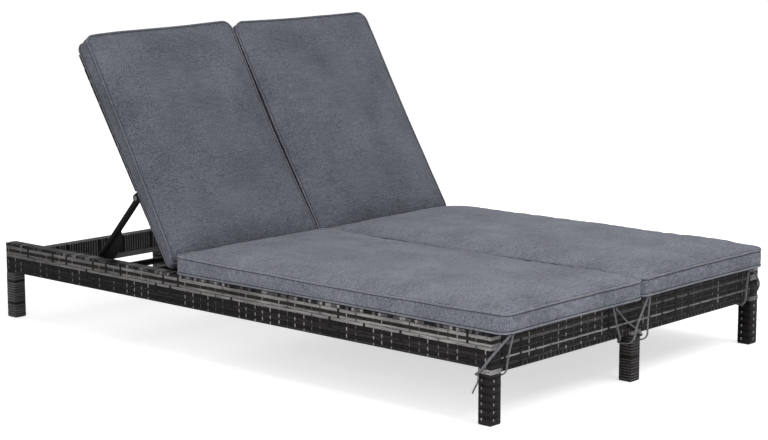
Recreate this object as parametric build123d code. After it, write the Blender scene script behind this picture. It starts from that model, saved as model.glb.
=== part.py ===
from build123d import *
from math import asin, atan2, cos, degrees, hypot, pi, radians, sin, sqrt, tan
import os

# Double chaise lounger in woven rattan over a black steel frame, with a full-width backrest
# that a swing prop holds up at the photographed angle.
# Millimetres. X is across, with the left rail at low X, Y runs from the foot to the head,
# and Z is up from the floor. The origin is the centre of the footprint, on the floor.

# Overall
overall_width = 1200
frame_length = 1880
seat_height = 227
rail_height = 88
rail_thickness = 40
cushion_overhang = 38
overrun = 5
face_gap = 0.3
running_gap = 0.05

# Woven skins and the steel behind them
skin = 2.5
frame_tube_height = 20
frame_tube_wall = 1.5
rung_width = 25
side_rungs = 5
end_rungs = 2

# Legs
leg_tube = 32
leg_wall = 1.6
leg_sleeve = 3
leg_sleeve_corner = 3
glide_height = 5
glide_spigot = 16
glide_chamfer = 2

# Head rail and foot bars
head_rail_drop = 29
head_rail_height = 71
lower_bar_height = 13
lower_bar_depth = 20

# Seat deck
deck_thickness = 5
slat_width = 20
slat_height = 15
slat_count = 7
tube_wall = 1.5
centre_beam_width = 25
centre_beam_height = 25
hinge_tube_width = 30
hinge_tube_height = 34
rear_tube = 25
rear_tube_rise = 34
rear_tube_from_hinge = 300

# Backrest
hinge_share = 0.6229
hinge_drop = 16
back_angle = 57.5
back_top_past_frame = 1
back_tail = 12.5
back_tube = 25
back_deck = 3.5
back_deck_edge = 6
back_side_clearance = 9
back_side_wrap = 6
back_rear_wrap = 2
back_deck_side = 2
wrap_start = 30
wrap_from_top = 46
lower_tube_offset = 20

# Backrest hinges
pivot_radius = 5
pivot_head_radius = 9
pivot_head_height = 6
bush_radius = 8
bush_lip = 1
plate_thickness = 4
hinge_plate_half_width = 22
hinge_plate_below = 36
hinge_plate_above = 13
spacer_radius = 11
spacer_gap = 0.4

# Prop
prop_pivot_share = 0.359155
prop_pivot_drop = 27
prop_length_share = 0.469014
prop_tube = 19
prop_wall = 1.5
prop_foot_above_rail = 28
prop_end_margin = 6
ear_thickness = 3
ear_gap = 0.5
ear_half_width = 12
prop_pin_radius = 4
prop_pin_head = 7
prop_pin_head_height = 2
gusset_depth = 43
gusset_thickness = 3
gusset_along_shares = (0.396, 0.438, 0.474, 0.90, 0.967)
gusset_depth_shares = (0.14, 0.79, 1, 1, 0.14)
plug_thickness = 1.5
plug_spigot = 12
bar_end_gap = 0.5

# Racks
rack_angles = (57.5, 46, 35, 24, 12)
rack_below_foot = 22
rack_above_foot = 16
rack_margin = 26
rack_notch_gap = 0.5
rack_screws = 3
rack_screw_rise = 6
screw_radius = 2
screw_head_radius = 4
screw_head = 2

# Corner brackets
bracket_leg = 60
bracket_thickness = 3
bracket_height = 30
bracket_rise = 13
bolt_radius = 3
bolt_head_radius = 5.5
bolt_head = 4

# Cushions
cushion_edge = 50
cushion_corner = 32
cushion_draw_in = 7
cushion_bulge = 4
seat_crown = 14
back_crown = 15
seat_cushion_margin = 4
back_cushion_margin = 3.5
seat_cushion_gap = 4
back_cushion_gap = 9
seat_cushion_rear_gap = 53
right_cushion_setback = 12
back_cushion_start = 17
back_cushion_overhang = 35
side_inset_shares = (1, 0.3, 0, 0.3, 1)
side_rise_shares = (0, 0.2, 0.5, 0.8, 1)
crown_inset_shares = (0.06, 0.20, 0.42, 0.70)
crown_rise_shares = (0.34, 0.68, 0.90, 1.0)

# Tie tapes
tape_width = 6
tie_run_share = 0.45

# Places worked out from the sizes above
half_width = overall_width / 2
rail_inner = half_width - rail_thickness
rail_bottom = seat_height - rail_height
foot_face = cushion_overhang - (frame_length + cushion_overhang) / 2
head_face = foot_face + frame_length
foot_inner = foot_face + rail_thickness
head_inner = head_face - rail_thickness
head_rail_top = seat_height - head_rail_drop
head_rail_bottom = head_rail_top - head_rail_height
leg_x = half_width - rail_thickness / 2
leg_foot_y = foot_face + rail_thickness / 2
leg_head_y = head_face - rail_thickness / 2
sleeve_half = leg_tube / 2 + leg_sleeve
hinge_from_foot = round(hinge_share * frame_length)
hinge_y = foot_face + hinge_from_foot
hinge_z = seat_height - hinge_drop
hinge_tube_head_face = hinge_y - 2 * back_tail + bush_lip
seat_deck_end = hinge_tube_head_face
rear_tube_top = rail_bottom + rear_tube_rise
prop_foot_height = rail_bottom + prop_foot_above_rail
rack_bottom = prop_foot_height - rack_below_foot
rack_top = prop_foot_height + rack_above_foot
rack_screw_height = rack_bottom + rack_screw_rise
bracket_bottom = rail_bottom + bracket_rise
back_length = frame_length - hinge_from_foot + back_top_past_frame
back_half_width = rail_inner - back_side_clearance
wrap_end = back_length - wrap_from_top
prop_pivot_along = prop_pivot_share * back_length
prop_length = prop_length_share * back_length
seat_cushion_width = half_width - seat_cushion_margin - seat_cushion_gap / 2
back_cushion_width = half_width - back_cushion_margin - back_cushion_gap / 2
back_cushion_end = back_length + back_cushion_overhang
plate_face = rail_inner - plate_thickness
back_inner = back_half_width - back_tube
arm_x = back_half_width - back_tube / 2
theta = radians(back_angle)


def block(low, high):
    """A box from its lowest to its highest corner."""
    size = [high[i] - low[i] for i in range(len(low))]
    centre = [(high[i] + low[i]) / 2 for i in range(len(low))]
    return Pos(*centre) * Box(*size)


def tube_block(low, high, wall, axis):
    """A rectangular tube, open at both ends along the named axis number."""
    inner_low = [v + wall for v in low]
    inner_high = [v - wall for v in high]
    inner_low[axis] = low[axis] - overrun
    inner_high[axis] = high[axis] + overrun
    return block(low, high) - block(inner_low, inner_high)


def rod_x(radius, x_low, x_high, y, z):
    """A round rod along X."""
    length = x_high - x_low
    turn = Rot(0, 90, 0)
    return Pos((x_low + x_high) / 2, y, z) * turn * Cylinder(radius, length)


def rod_y(radius, y_low, y_high, x, z):
    """A round rod along Y."""
    length = y_high - y_low
    turn = Rot(90, 0, 0)
    return Pos(x, (y_low + y_high) / 2, z) * turn * Cylinder(radius, length)


def across(side, near, far):
    """The two X values at one side of the part, in rising order."""
    return sorted((side * near, side * far))


def along_back(u, t):
    """Y and Z of a point of the raised backrest, u up the back and t off its face."""
    y = hinge_y + u * cos(theta) - t * sin(theta)
    z = hinge_z + u * sin(theta) + t * cos(theta)
    return y, z


def raise_back(shape):
    """Turn what is drawn lying flat up to the backrest's angle."""
    at_hinge = Pos(0, hinge_y, hinge_z)
    return at_hinge * Rot(back_angle, 0, 0) * at_hinge.inverse() * shape


def save(name, *solids):
    """Write one node of one or more separate solids."""
    shape = solids[0] if len(solids) == 1 else Compound(children=list(solids))
    shape.label = name
    export_step(shape, "parts/" + name + ".step")


def leg_places():
    """Name, X, Y, and the heights where each leg's sleeve and tube end."""
    inside_side = seat_height - skin
    inside_head = head_rail_top - skin
    return (
        ("left_foot", -leg_x, leg_foot_y, rail_bottom, inside_side),
        ("middle_foot", 0, leg_foot_y, rail_bottom, inside_side),
        ("right_foot", leg_x, leg_foot_y, rail_bottom, inside_side),
        ("left_head", -leg_x, leg_head_y, rail_bottom, inside_side),
        ("middle_head", 0, leg_head_y, head_rail_bottom, inside_head),
        ("right_head", leg_x, leg_head_y, rail_bottom, inside_side),
    )


def leg_hole(x, y, z):
    """The square hole in a skin's floor that a leg passes through."""
    half = leg_tube / 2
    return block((x - half, y - half, z - overrun), (x + half, y + half, z + skin + overrun))


def woven_box(low, high):
    """A closed woven skin of one thickness."""
    inner_low = [v + skin for v in low]
    inner_high = [v - skin for v in high]
    return block(low, high) - block(inner_low, inner_high)


def ladder_y(x_low, x_high, y_low, y_high, z_low, z_high, rungs):
    """Two steel tubes along Y with welded rungs between them."""
    upper = tube_block((x_low, y_low, z_high - frame_tube_height), (x_high, y_high, z_high),
                       frame_tube_wall, 1)
    lower = tube_block((x_low, y_low, z_low), (x_high, y_high, z_low + frame_tube_height),
                       frame_tube_wall, 1)
    frame = upper + lower
    for i in range(rungs):
        y = y_low + (y_high - y_low) * (i + 1) / (rungs + 1)
        rung_low = (x_low, y - rung_width / 2, z_low + frame_tube_height)
        rung_high = (x_high, y + rung_width / 2, z_high - frame_tube_height)
        frame += tube_block(rung_low, rung_high, frame_tube_wall, 2)
    return frame


def ladder_x(x_low, x_high, y_low, y_high, z_low, z_high, rungs):
    """Two steel tubes along X with welded rungs between them."""
    upper = tube_block((x_low, y_low, z_high - frame_tube_height), (x_high, y_high, z_high),
                       frame_tube_wall, 0)
    lower = tube_block((x_low, y_low, z_low), (x_high, y_high, z_low + frame_tube_height),
                       frame_tube_wall, 0)
    frame = upper + lower
    for i in range(rungs):
        x = x_low + (x_high - x_low) * (i + 1) / (rungs + 1)
        rung_low = (x - rung_width / 2, y_low, z_low + frame_tube_height)
        rung_high = (x + rung_width / 2, y_high, z_high - frame_tube_height)
        frame += tube_block(rung_low, rung_high, frame_tube_wall, 2)
    return frame


def side_skin(side):
    """The woven casing of one side rail, closed at both ends round the corner legs."""
    x_low, x_high = across(side, rail_inner, half_width)
    shell = woven_box((x_low, foot_face, rail_bottom), (x_high, head_face, seat_height))
    for y in (leg_foot_y, leg_head_y):
        shell -= leg_hole(side * leg_x, y, rail_bottom)
    return shell


def side_frame(side):
    """The welded steel ladder inside one side rail, between its two legs."""
    x_low, x_high = across(side, rail_inner + skin, half_width - skin)
    reach = leg_tube / 2
    return ladder_y(x_low, x_high, leg_foot_y + reach, leg_head_y - reach,
                    rail_bottom + skin, seat_height - skin, side_rungs)


def foot_apron():
    """The woven casing across the foot, with the middle leg's hole."""
    shell = woven_box((-rail_inner, foot_face, rail_bottom), (rail_inner, foot_inner, seat_height))
    return shell - leg_hole(0, leg_foot_y, rail_bottom)


def head_rail():
    """The lower woven casing across the head, which the flat backrest lies on."""
    shell = woven_box((-rail_inner, head_inner, head_rail_bottom),
                      (rail_inner, head_face, head_rail_top))
    return shell - leg_hole(0, leg_head_y, head_rail_bottom)


def end_frame(y_low, y_high, z_low, z_high):
    """Steel ladders on both sides of a middle leg."""
    inner = leg_tube / 2
    outer = rail_inner - skin
    return [ladder_x(*across(side, inner, outer), y_low + skin, y_high - skin,
                     z_low + skin, z_high - skin, end_rungs) for side in (-1, 1)]


def leg(x, y, top):
    """One square steel leg, open at its foot for the glide."""
    half = leg_tube / 2
    return tube_block((x - half, y - half, glide_height), (x + half, y + half, top), leg_wall, 2)


def sleeve(x, y, top):
    """The woven wrap of one leg."""
    outer = block((x - sleeve_half, y - sleeve_half, glide_height),
                  (x + sleeve_half, y + sleeve_half, top))
    outer = fillet(outer.edges().filter_by(Axis.Z), leg_sleeve_corner)
    half = leg_tube / 2
    return outer - block((x - half, y - half, glide_height - overrun),
                         (x + half, y + half, top + overrun))


def glide(x, y):
    """One plastic foot glide with its spigot in the leg."""
    base = block((x - sleeve_half, y - sleeve_half, 0),
                 (x + sleeve_half, y + sleeve_half, glide_height))
    base = chamfer(base.faces().sort_by(Axis.Z)[0].edges(), glide_chamfer)
    half = leg_tube / 2 - leg_wall
    spigot = block((x - half, y - half, glide_height),
                   (x + half, y + half, glide_height + glide_spigot))
    return base + spigot


def lower_bar(side):
    """The wrapped bar under the foot apron, between two legs."""
    x_low, x_high = across(side, sleeve_half, leg_x - sleeve_half)
    half = lower_bar_depth / 2
    return block((x_low, leg_foot_y - half, rail_bottom - lower_bar_height),
                 (x_high, leg_foot_y + half, rail_bottom))


def seat_deck():
    """The woven seat between the rails."""
    return block((-rail_inner, foot_inner, seat_height - deck_thickness),
                 (rail_inner, seat_deck_end, seat_height))


def seat_slats():
    """Steel cross tubes under the seat, evenly spaced."""
    top = seat_height - deck_thickness
    end = seat_deck_end - hinge_tube_width
    pitch = (end - foot_inner) / (slat_count + 1)
    slats = []
    for i in range(slat_count):
        y = foot_inner + pitch * (i + 1)
        slats.append(tube_block((-rail_inner, y - slat_width / 2, top - slat_height),
                                (rail_inner, y + slat_width / 2, top), tube_wall, 0))
    return slats


def seat_centre_beam():
    """The lengthwise steel beam under the slats."""
    top = seat_height - deck_thickness - slat_height
    half = centre_beam_width / 2
    return tube_block((-half, foot_inner, top - centre_beam_height),
                      (half, seat_deck_end - hinge_tube_width, top), tube_wall, 1)


def hinge_cross_tube():
    """The steel cross tube that ends the seat, in front of the hinge."""
    top = seat_height - deck_thickness
    return tube_block((-rail_inner, seat_deck_end - hinge_tube_width, top - hinge_tube_height),
                      (rail_inner, seat_deck_end, top), tube_wall, 0)


def rear_cross_tube():
    """The low steel cross tube under the backrest."""
    y_high = hinge_y + rear_tube_from_hinge
    return tube_block((-rail_inner, y_high - rear_tube, rear_tube_top - rear_tube),
                      (rail_inner, y_high, rear_tube_top), tube_wall, 0)


def prop_pivot(angle):
    """Y and Z of the prop's pivot with the back at an angle in degrees."""
    a = radians(angle)
    y = hinge_y + prop_pivot_along * cos(a) + prop_pivot_drop * sin(a)
    z = hinge_z + prop_pivot_along * sin(a) - prop_pivot_drop * cos(a)
    return y, z


def prop_foot(angle):
    """Y of the prop's foot on the racks with the back at an angle in degrees."""
    y, z = prop_pivot(angle)
    return y + sqrt(prop_length ** 2 - (z - prop_foot_height) ** 2)


def rack_screw_places():
    """Y of each screw of one rack."""
    start = prop_foot(rack_angles[0])
    end = prop_foot(rack_angles[-1])
    return [start + (end - start) * i / (rack_screws - 1) for i in range(rack_screws)]


def rack(side):
    """The notched steel strip on one side rail that the prop's foot drops into."""
    x_low, x_high = across(side, plate_face, rail_inner)
    y_low = prop_foot(rack_angles[0]) - rack_margin
    y_high = prop_foot(rack_angles[-1]) + rack_margin
    strip = block((x_low, y_low, rack_bottom), (x_high, y_high, rack_top))
    notch = prop_tube / 2 + rack_notch_gap
    for angle in rack_angles:
        y = prop_foot(angle)
        strip -= rod_x(notch, x_low - overrun, x_high + overrun, y, prop_foot_height)
        strip -= block((x_low - overrun, y - notch, prop_foot_height),
                       (x_high + overrun, y + notch, rack_top + overrun))
    for y in rack_screw_places():
        strip -= rod_x(screw_radius + running_gap, x_low - overrun, x_high + overrun,
                       y, rack_screw_height)
    return strip


def rack_screw(side, y):
    """One round-headed screw of a rack."""
    shank = rod_x(screw_radius, *across(side, plate_face, rail_inner), y, rack_screw_height)
    head = rod_x(screw_head_radius, *across(side, plate_face - screw_head, plate_face),
                 y, rack_screw_height)
    return shank + head


def hinge_plate(side):
    """The steel plate on one side rail that carries the backrest's pivot bolt."""
    x_low, x_high = across(side, plate_face, rail_inner)
    plate = block((x_low, hinge_y - hinge_plate_half_width, hinge_z - hinge_plate_below),
                  (x_high, hinge_y + hinge_plate_half_width, hinge_z + hinge_plate_above))
    plate = fillet(plate.edges().filter_by(Axis.X), pivot_head_radius)
    return plate - rod_x(pivot_radius + running_gap, x_low - overrun, x_high + overrun,
                         hinge_y, hinge_z)


def pivot_bolt(side):
    """One hinge bolt, headed on the inside of the backrest's side tube."""
    head_end = back_inner - bush_lip - spacer_gap
    shank = rod_x(pivot_radius, *across(side, head_end, rail_inner), hinge_y, hinge_z)
    head = rod_x(pivot_head_radius, *across(side, head_end - pivot_head_height, head_end),
                 hinge_y, hinge_z)
    return shank + head


def pivot_spacer(side):
    """The spacer ring between a hinge plate and the backrest."""
    x_low, x_high = across(side, back_half_width + bush_lip + spacer_gap, plate_face - face_gap)
    ring = rod_x(spacer_radius, x_low, x_high, hinge_y, hinge_z)
    return ring - rod_x(pivot_radius + running_gap, x_low - overrun, x_high + overrun,
                        hinge_y, hinge_z)


def pivot_bush(side):
    """The nylon bush in the backrest's side tube."""
    x_low, x_high = across(side, back_inner - bush_lip, back_half_width + bush_lip)
    sleeve_rod = rod_x(bush_radius, x_low, x_high, hinge_y, hinge_z)
    return sleeve_rod - rod_x(pivot_radius + running_gap, x_low - overrun, x_high + overrun,
                              hinge_y, hinge_z)


def corner_bracket(side, end):
    """One angle bracket inside a corner of the frame."""
    inner_y = foot_inner if end < 0 else head_inner
    y_low, y_high = sorted((inner_y, inner_y - end * bracket_leg))
    x_low, x_high = across(side, rail_inner - bracket_thickness, rail_inner)
    along = block((x_low, y_low, bracket_bottom), (x_high, y_high, bracket_bottom + bracket_height))
    y_low, y_high = sorted((inner_y, inner_y - end * bracket_thickness))
    x_low, x_high = across(side, rail_inner - bracket_leg, rail_inner)
    return along + block((x_low, y_low, bracket_bottom),
                         (x_high, y_high, bracket_bottom + bracket_height))


def bracket_bolts(side, end):
    """The two bolt heads of one angle bracket."""
    inner_y = foot_inner if end < 0 else head_inner
    middle = bracket_thickness + (bracket_leg - bracket_thickness) / 2
    z = bracket_bottom + bracket_height / 2
    face = rail_inner - bracket_thickness
    on_side = rod_x(bolt_head_radius, *across(side, face - bolt_head, face),
                    inner_y - end * middle, z)
    y_face = inner_y - end * bracket_thickness
    on_end = rod_y(bolt_head_radius, *sorted((y_face, y_face - end * bolt_head)),
                   side * (rail_inner - middle), z)
    return [on_side, on_end]


def back_block(x_low, x_high, u_low, u_high, t_low, t_high):
    """A box of the backrest, drawn flat and raised."""
    return raise_back(block((x_low, hinge_y + u_low, hinge_z + t_low),
                            (x_high, hinge_y + u_high, hinge_z + t_high)))


def back_tube_block(x_low, x_high, u_low, u_high, axis):
    """A square tube of the backrest, drawn flat and raised."""
    half = back_tube / 2
    return raise_back(tube_block((x_low, hinge_y + u_low, hinge_z - half),
                                 (x_high, hinge_y + u_high, hinge_z + half), tube_wall, axis))


def back_side_tube(side):
    """One side tube of the backrest, bored for its hinge bush."""
    x_low, x_high = across(side, back_inner, back_half_width)
    side_tube = back_tube_block(x_low, x_high, -back_tail, back_length - back_tube, 1)
    return side_tube - rod_x(bush_radius, x_low - overrun, x_high + overrun, hinge_y, hinge_z)


def back_deck_panel():
    """The woven face of the backrest."""
    half = back_tube / 2
    edge = back_half_width + back_deck_side
    return back_block(-edge, edge, -back_deck_edge, back_length, half, half + back_deck)


def back_edge_wrap(side):
    """The woven wrap on the outer and rear faces of one side tube, clear of the prop's ears.

    The outer face is wrapped to the panel's end. The rear face's wrap ends where the head rail
    lies under the panel when it is flat.
    """
    half = back_tube / 2
    ear_low = prop_pivot_along - ear_half_width - ear_thickness
    ear_high = prop_pivot_along + ear_half_width + ear_thickness
    outer = back_half_width + back_side_wrap
    x_low, x_high = across(side, back_half_width, outer)
    x_rear_low, x_rear_high = across(side, back_inner, outer)
    pieces = []
    for u_low, u_rear, u_edge in ((wrap_start, ear_low, ear_low), (ear_high, wrap_end, back_length)):
        edge = back_block(x_low, x_high, u_low, u_edge, -half, half)
        rear = back_block(x_rear_low, x_rear_high, u_low, u_rear, -half - back_rear_wrap, -half)
        pieces.append(edge + rear)
    return pieces


def prop_ears(side):
    """The U-shaped bracket under one side tube that holds the prop's pin."""
    half = back_tube / 2
    gap = prop_tube / 2 + ear_gap
    centre = side * arm_x
    outer = gap + ear_thickness
    web = block((centre - outer, hinge_y + prop_pivot_along - ear_half_width,
                 hinge_z - half - ear_thickness),
                (centre + outer, hinge_y + prop_pivot_along + ear_half_width, hinge_z - half))
    bracket = web
    for x_low in (centre - outer, centre + gap):
        plate = block((x_low, hinge_y + prop_pivot_along - ear_half_width,
                       hinge_z - prop_pivot_drop),
                      (x_low + ear_thickness, hinge_y + prop_pivot_along + ear_half_width,
                       hinge_z - half))
        nose = rod_x(ear_half_width, x_low, x_low + ear_thickness,
                     hinge_y + prop_pivot_along, hinge_z - prop_pivot_drop)
        bracket += plate + nose
    hole = rod_x(prop_pin_radius, centre - outer - overrun, centre + outer + overrun,
                 hinge_y + prop_pivot_along, hinge_z - prop_pivot_drop)
    return raise_back(bracket - hole)


def prop_pin(side):
    """One riveted pin of the prop."""
    centre = side * arm_x
    outer = prop_tube / 2 + ear_gap + ear_thickness
    y = hinge_y + prop_pivot_along
    z = hinge_z - prop_pivot_drop
    pin = rod_x(prop_pin_radius, centre - outer, centre + outer, y, z)
    pin += rod_x(prop_pin_head, centre - outer - prop_pin_head_height, centre - outer, y, z)
    pin += rod_x(prop_pin_head, centre + outer, centre + outer + prop_pin_head_height, y, z)
    return raise_back(pin)


def prop_foot_rod(radius, reach):
    """A round rod on the prop's foot line."""
    return rod_x(radius, -reach, reach, prop_foot(back_angle), prop_foot_height)


def prop_gusset():
    """The plate along the lower half of a prop arm, drawn with the arm level from its pivot."""
    outline = []
    for along, below in zip(gusset_along_shares, gusset_depth_shares):
        outline.append((along * prop_length, -below * gusset_depth))
    face = make_face(Plane.YZ * Polyline(*outline, close=True))
    return extrude(face, gusset_thickness / 2, both=True)


def prop_arm(side):
    """One round arm of the prop with its plate, saddled onto the foot bar."""
    y, z = prop_pivot(back_angle)
    fall = degrees(asin((z - prop_foot_height) / prop_length))
    start = -prop_end_margin
    length = prop_length - start
    level = Rot(-90, 0, 0) * Pos(0, 0, start + length / 2)
    rod = level * Cylinder(prop_tube / 2, length) + prop_gusset()
    rod -= level * Cylinder(prop_tube / 2 - prop_wall, length + overrun)
    rod = Pos(side * arm_x, y, z) * Rot(-fall, 0, 0) * rod
    hole = rod_x(prop_pin_radius + running_gap, side * arm_x - prop_tube,
                 side * arm_x + prop_tube, y, z)
    return rod - hole - prop_foot_rod(prop_tube / 2, rail_inner)


def prop_foot_bar():
    """The prop's cross bar, whose ends rest in the racks."""
    reach = plate_face - bar_end_gap - plug_thickness
    inner = prop_foot_rod(prop_tube / 2 - prop_wall, reach + overrun)
    return prop_foot_rod(prop_tube / 2, reach) - inner


def foot_bar_plug(side):
    """One plastic plug in the foot bar's end."""
    y = prop_foot(back_angle)
    face = plate_face - bar_end_gap
    inner = face - plug_thickness
    flange = rod_x(prop_tube / 2, *across(side, inner, face), y, prop_foot_height)
    spigot = rod_x(prop_tube / 2 - prop_wall, *across(side, inner - plug_spigot, inner),
                   y, prop_foot_height)
    return flange + spigot


def cushion_outline(width, length, inset, z):
    """A closed outline whose four sides draw in between rounded corners."""
    half_x = width / 2 - inset
    half_y = length / 2 - inset
    corner = min(cushion_corner, half_x / 2)
    draw = cushion_draw_in * (half_x / (width / 2))
    edges = []
    corners = ((1, 1), (-1, 1), (-1, -1), (1, -1))
    for i, (sx, sy) in enumerate(corners):
        nx, ny = corners[(i + 1) % len(corners)]
        diagonal = corner * (1 - cos(pi / 4))
        if sx == sy:
            start = (sx * half_x, sy * (half_y - corner))
            end = (sx * (half_x - corner), sy * half_y)
        else:
            start = (sx * (half_x - corner), sy * half_y)
            end = (sx * half_x, sy * (half_y - corner))
        middle = (sx * (half_x - diagonal), sy * (half_y - diagonal))
        edges.append(ThreePointArc(start, middle, end))
        if ny == sy:
            far = (nx * (half_x - corner), ny * half_y)
            waist = (0, sy * (half_y - draw))
        else:
            far = (nx * half_x, ny * (half_y - corner))
            waist = (sx * (half_x - draw), 0)
        edges.append(ThreePointArc(end, waist, far))
    return Pos(0, 0, z) * make_face(Wire(edges))


def cushion(width, length, crown):
    """A boxed cushion with a crowned top, its bottom centre at the origin."""
    levels = []
    for inset, rise in zip(side_inset_shares, side_rise_shares):
        levels.append((inset * cushion_bulge, rise * cushion_edge))
    for inset, rise in zip(crown_inset_shares, crown_rise_shares):
        reach = inset * min(width, length) / 2
        levels.append((cushion_bulge + reach, cushion_edge + rise * crown))
    faces = [cushion_outline(width, length, inset, z) for inset, z in levels]
    return loft(faces, ruled=True)


def seat_cushion(side):
    """One seat cushion on the deck, its foot end past the frame."""
    setback = 0 if side < 0 else right_cushion_setback
    y_low = foot_face - cushion_overhang + setback
    y_high = hinge_y - seat_cushion_rear_gap
    pad = cushion(seat_cushion_width, y_high - y_low, seat_crown)
    x = side * (seat_cushion_width + seat_cushion_gap) / 2
    return Pos(x, (y_low + y_high) / 2, seat_height + face_gap) * pad


def back_cushion(side):
    """One back cushion on the raised backrest."""
    length = back_cushion_end - back_cushion_start
    pad = cushion(back_cushion_width, length, back_crown)
    x = side * (back_cushion_width + back_cushion_gap) / 2
    y = hinge_y + (back_cushion_start + back_cushion_end) / 2
    z = hinge_z + back_tube / 2 + back_deck + face_gap
    return raise_back(Pos(x, y, z) * pad)


# Routes of the tie tapes, chosen by hand: each loop runs from a cushion's corner down past the
# rail, round the leg under the foot bar, and up again. The tail hangs free behind one leg.
# Each route has its leg's side, then points off the leg's centre, the foot's face and the seat.
tie_routes = {
    "tie_left_corner": (-1, (
        (14, -32, -2.8), (-27, -7, -51), (-28, 23, -91), (-26, 49, -108), (26, 49, -110),
        (28, -8, -110), (29, -11, -65), (24, -32, -2.8))),
    "tie_left_tail": (-1, (
        (-27.4, 32.8, -102.1), (-29, 31, -117.5), (-30, 39, -132.5), (-29, 49, -149.5))),
    "tie_left_middle": (0, (
        (-149, -32, -2.8), (-103, -11, -63), (-75, -7, -106), (-25, 47, -115), (27, 47, -115),
        (28, -6, -109), (-5, -7, -87), (-52, -7, -59), (-97, -19, -31), (-140, -32, -2.8))),
    "tie_right_middle": (0, (
        (25, -18, -2.8), (1, -17, -39), (-29, -19, -79), (-32, -14, -121), (-29, 48, -125),
        (30, 48, -125), (32, -14, -121), (29, -15, -75), (34, -18, -2.8))),
    "tie_right_corner": (1, (
        (-59, -17, -2.8), (-57, -8, -49), (-56, -7, -97), (-32, 23, -112), (-25, 49, -113),
        (26, 49, -112), (27, 17, -93), (26, -7, -49), (-45, -17, -2.8))),
}


def tie(name, side, offsets):
    """One tape as a round tube of its width along straight runs and tangent arcs."""
    path = [Vector(side * leg_x + x, foot_face + y, seat_height + z) for x, y, z in offsets]
    radii = []
    for i in range(1, len(path) - 1):
        before = path[i] - path[i - 1]
        after = path[i + 1] - path[i]
        turn = radians(before.get_angle(after))
        radii.append(tie_run_share * min(before.length, after.length) / tan(turn / 2))
    print(name, "radii", [round(r, 1) for r in radii])
    line = FilletPolyline(*path, radius=radii)
    start = Plane(origin=line @ 0, z_dir=line % 0)
    tube = sweep(start * Circle(tape_width / 2), path=line)
    expected = pi * tape_width ** 2 / 4 * line.length
    print(name, "length", round(line.length, 1), "volume ratio", round(tube.volume / expected, 4))
    return tube


def main():
    """Build every node and write it."""
    os.makedirs("parts", exist_ok=True)
    sides = (("left", -1), ("right", 1))
    for name, side in sides:
        save("side_skin_" + name, side_skin(side))
        save("side_frame_" + name, side_frame(side))
        save("rack_" + name, rack(side))
        save("hinge_plate_" + name, hinge_plate(side))
        save("seat_cushion_" + name, seat_cushion(side))
        save("back_cushion_" + name, back_cushion(side))
        save("back_side_tube_" + name, back_side_tube(side))
        save("back_edge_wrap_" + name, *back_edge_wrap(side))
        save("prop_arm_" + name, prop_arm(side))
    for name, x, y, sleeve_top, tube_top in leg_places():
        save("leg_" + name, leg(x, y, tube_top))
        save("leg_sleeve_" + name, sleeve(x, y, sleeve_top))
    save("foot_glides", *[glide(x, y) for _, x, y, _, _ in leg_places()])
    save("foot_apron_skin", foot_apron())
    save("foot_frame", *end_frame(foot_face, foot_inner, rail_bottom, seat_height))
    save("foot_lower_bars", lower_bar(-1), lower_bar(1))
    save("head_rail_skin", head_rail())
    save("head_frame", *end_frame(head_inner, head_face, head_rail_bottom, head_rail_top))
    save("seat_deck", seat_deck())
    save("seat_slats", *seat_slats())
    save("seat_centre_beam", seat_centre_beam())
    save("hinge_cross_tube", hinge_cross_tube())
    save("rear_cross_tube", rear_cross_tube())
    save("rack_screws", *[rack_screw(side, y) for _, side in sides for y in rack_screw_places()])
    save("pivot_bolts", *[pivot_bolt(side) for _, side in sides])
    save("pivot_spacers", *[pivot_spacer(side) for _, side in sides])
    save("pivot_bushes", *[pivot_bush(side) for _, side in sides])
    corners = [(side, end) for _, side in sides for end in (-1, 1)]
    save("corner_brackets", *[corner_bracket(side, end) for side, end in corners])
    save("bracket_bolts", *[bolt for side, end in corners for bolt in bracket_bolts(side, end)])
    top = back_length - back_tube
    low_top = lower_tube_offset + back_tube
    half = back_tube / 2
    save("back_top_tube", back_tube_block(-back_half_width, back_half_width, top, back_length, 0))
    save("back_bottom_tube", back_tube_block(-back_inner, back_inner, lower_tube_offset, low_top, 0))
    save("back_centre_tube", back_tube_block(-half, half, low_top, top, 1))
    save("back_deck", back_deck_panel())
    save("prop_ears", *[prop_ears(side) for _, side in sides])
    save("prop_pins", *[prop_pin(side) for _, side in sides])
    save("prop_foot_bar", prop_foot_bar())
    save("foot_bar_plugs", *[foot_bar_plug(side) for _, side in sides])
    for name, (side, offsets) in tie_routes.items():
        save(name, tie(name, side, offsets))
    y, z = prop_pivot(back_angle)
    print("hinge", 0, round(hinge_y, 3), round(hinge_z, 3))
    print("prop pivot", 0, round(y, 3), round(z, 3))
    fall = degrees(atan2(z - prop_foot_height, prop_foot(back_angle) - y))
    print("prop foot", round(prop_foot(back_angle), 3), "fall", round(fall, 3),
          "ratio", round((back_angle + fall) / back_angle, 4), "reach", round(hypot(y, z), 1))


main()
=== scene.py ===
"""Woven double chaise lounger with a raised backrest, a swing prop and four tied cushions."""
import logging
import math
import random
from dataclasses import dataclass, field
from enum import Enum
from typing import Iterable, Sequence

import bpy
from mathutils import Matrix, Vector, noise


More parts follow.
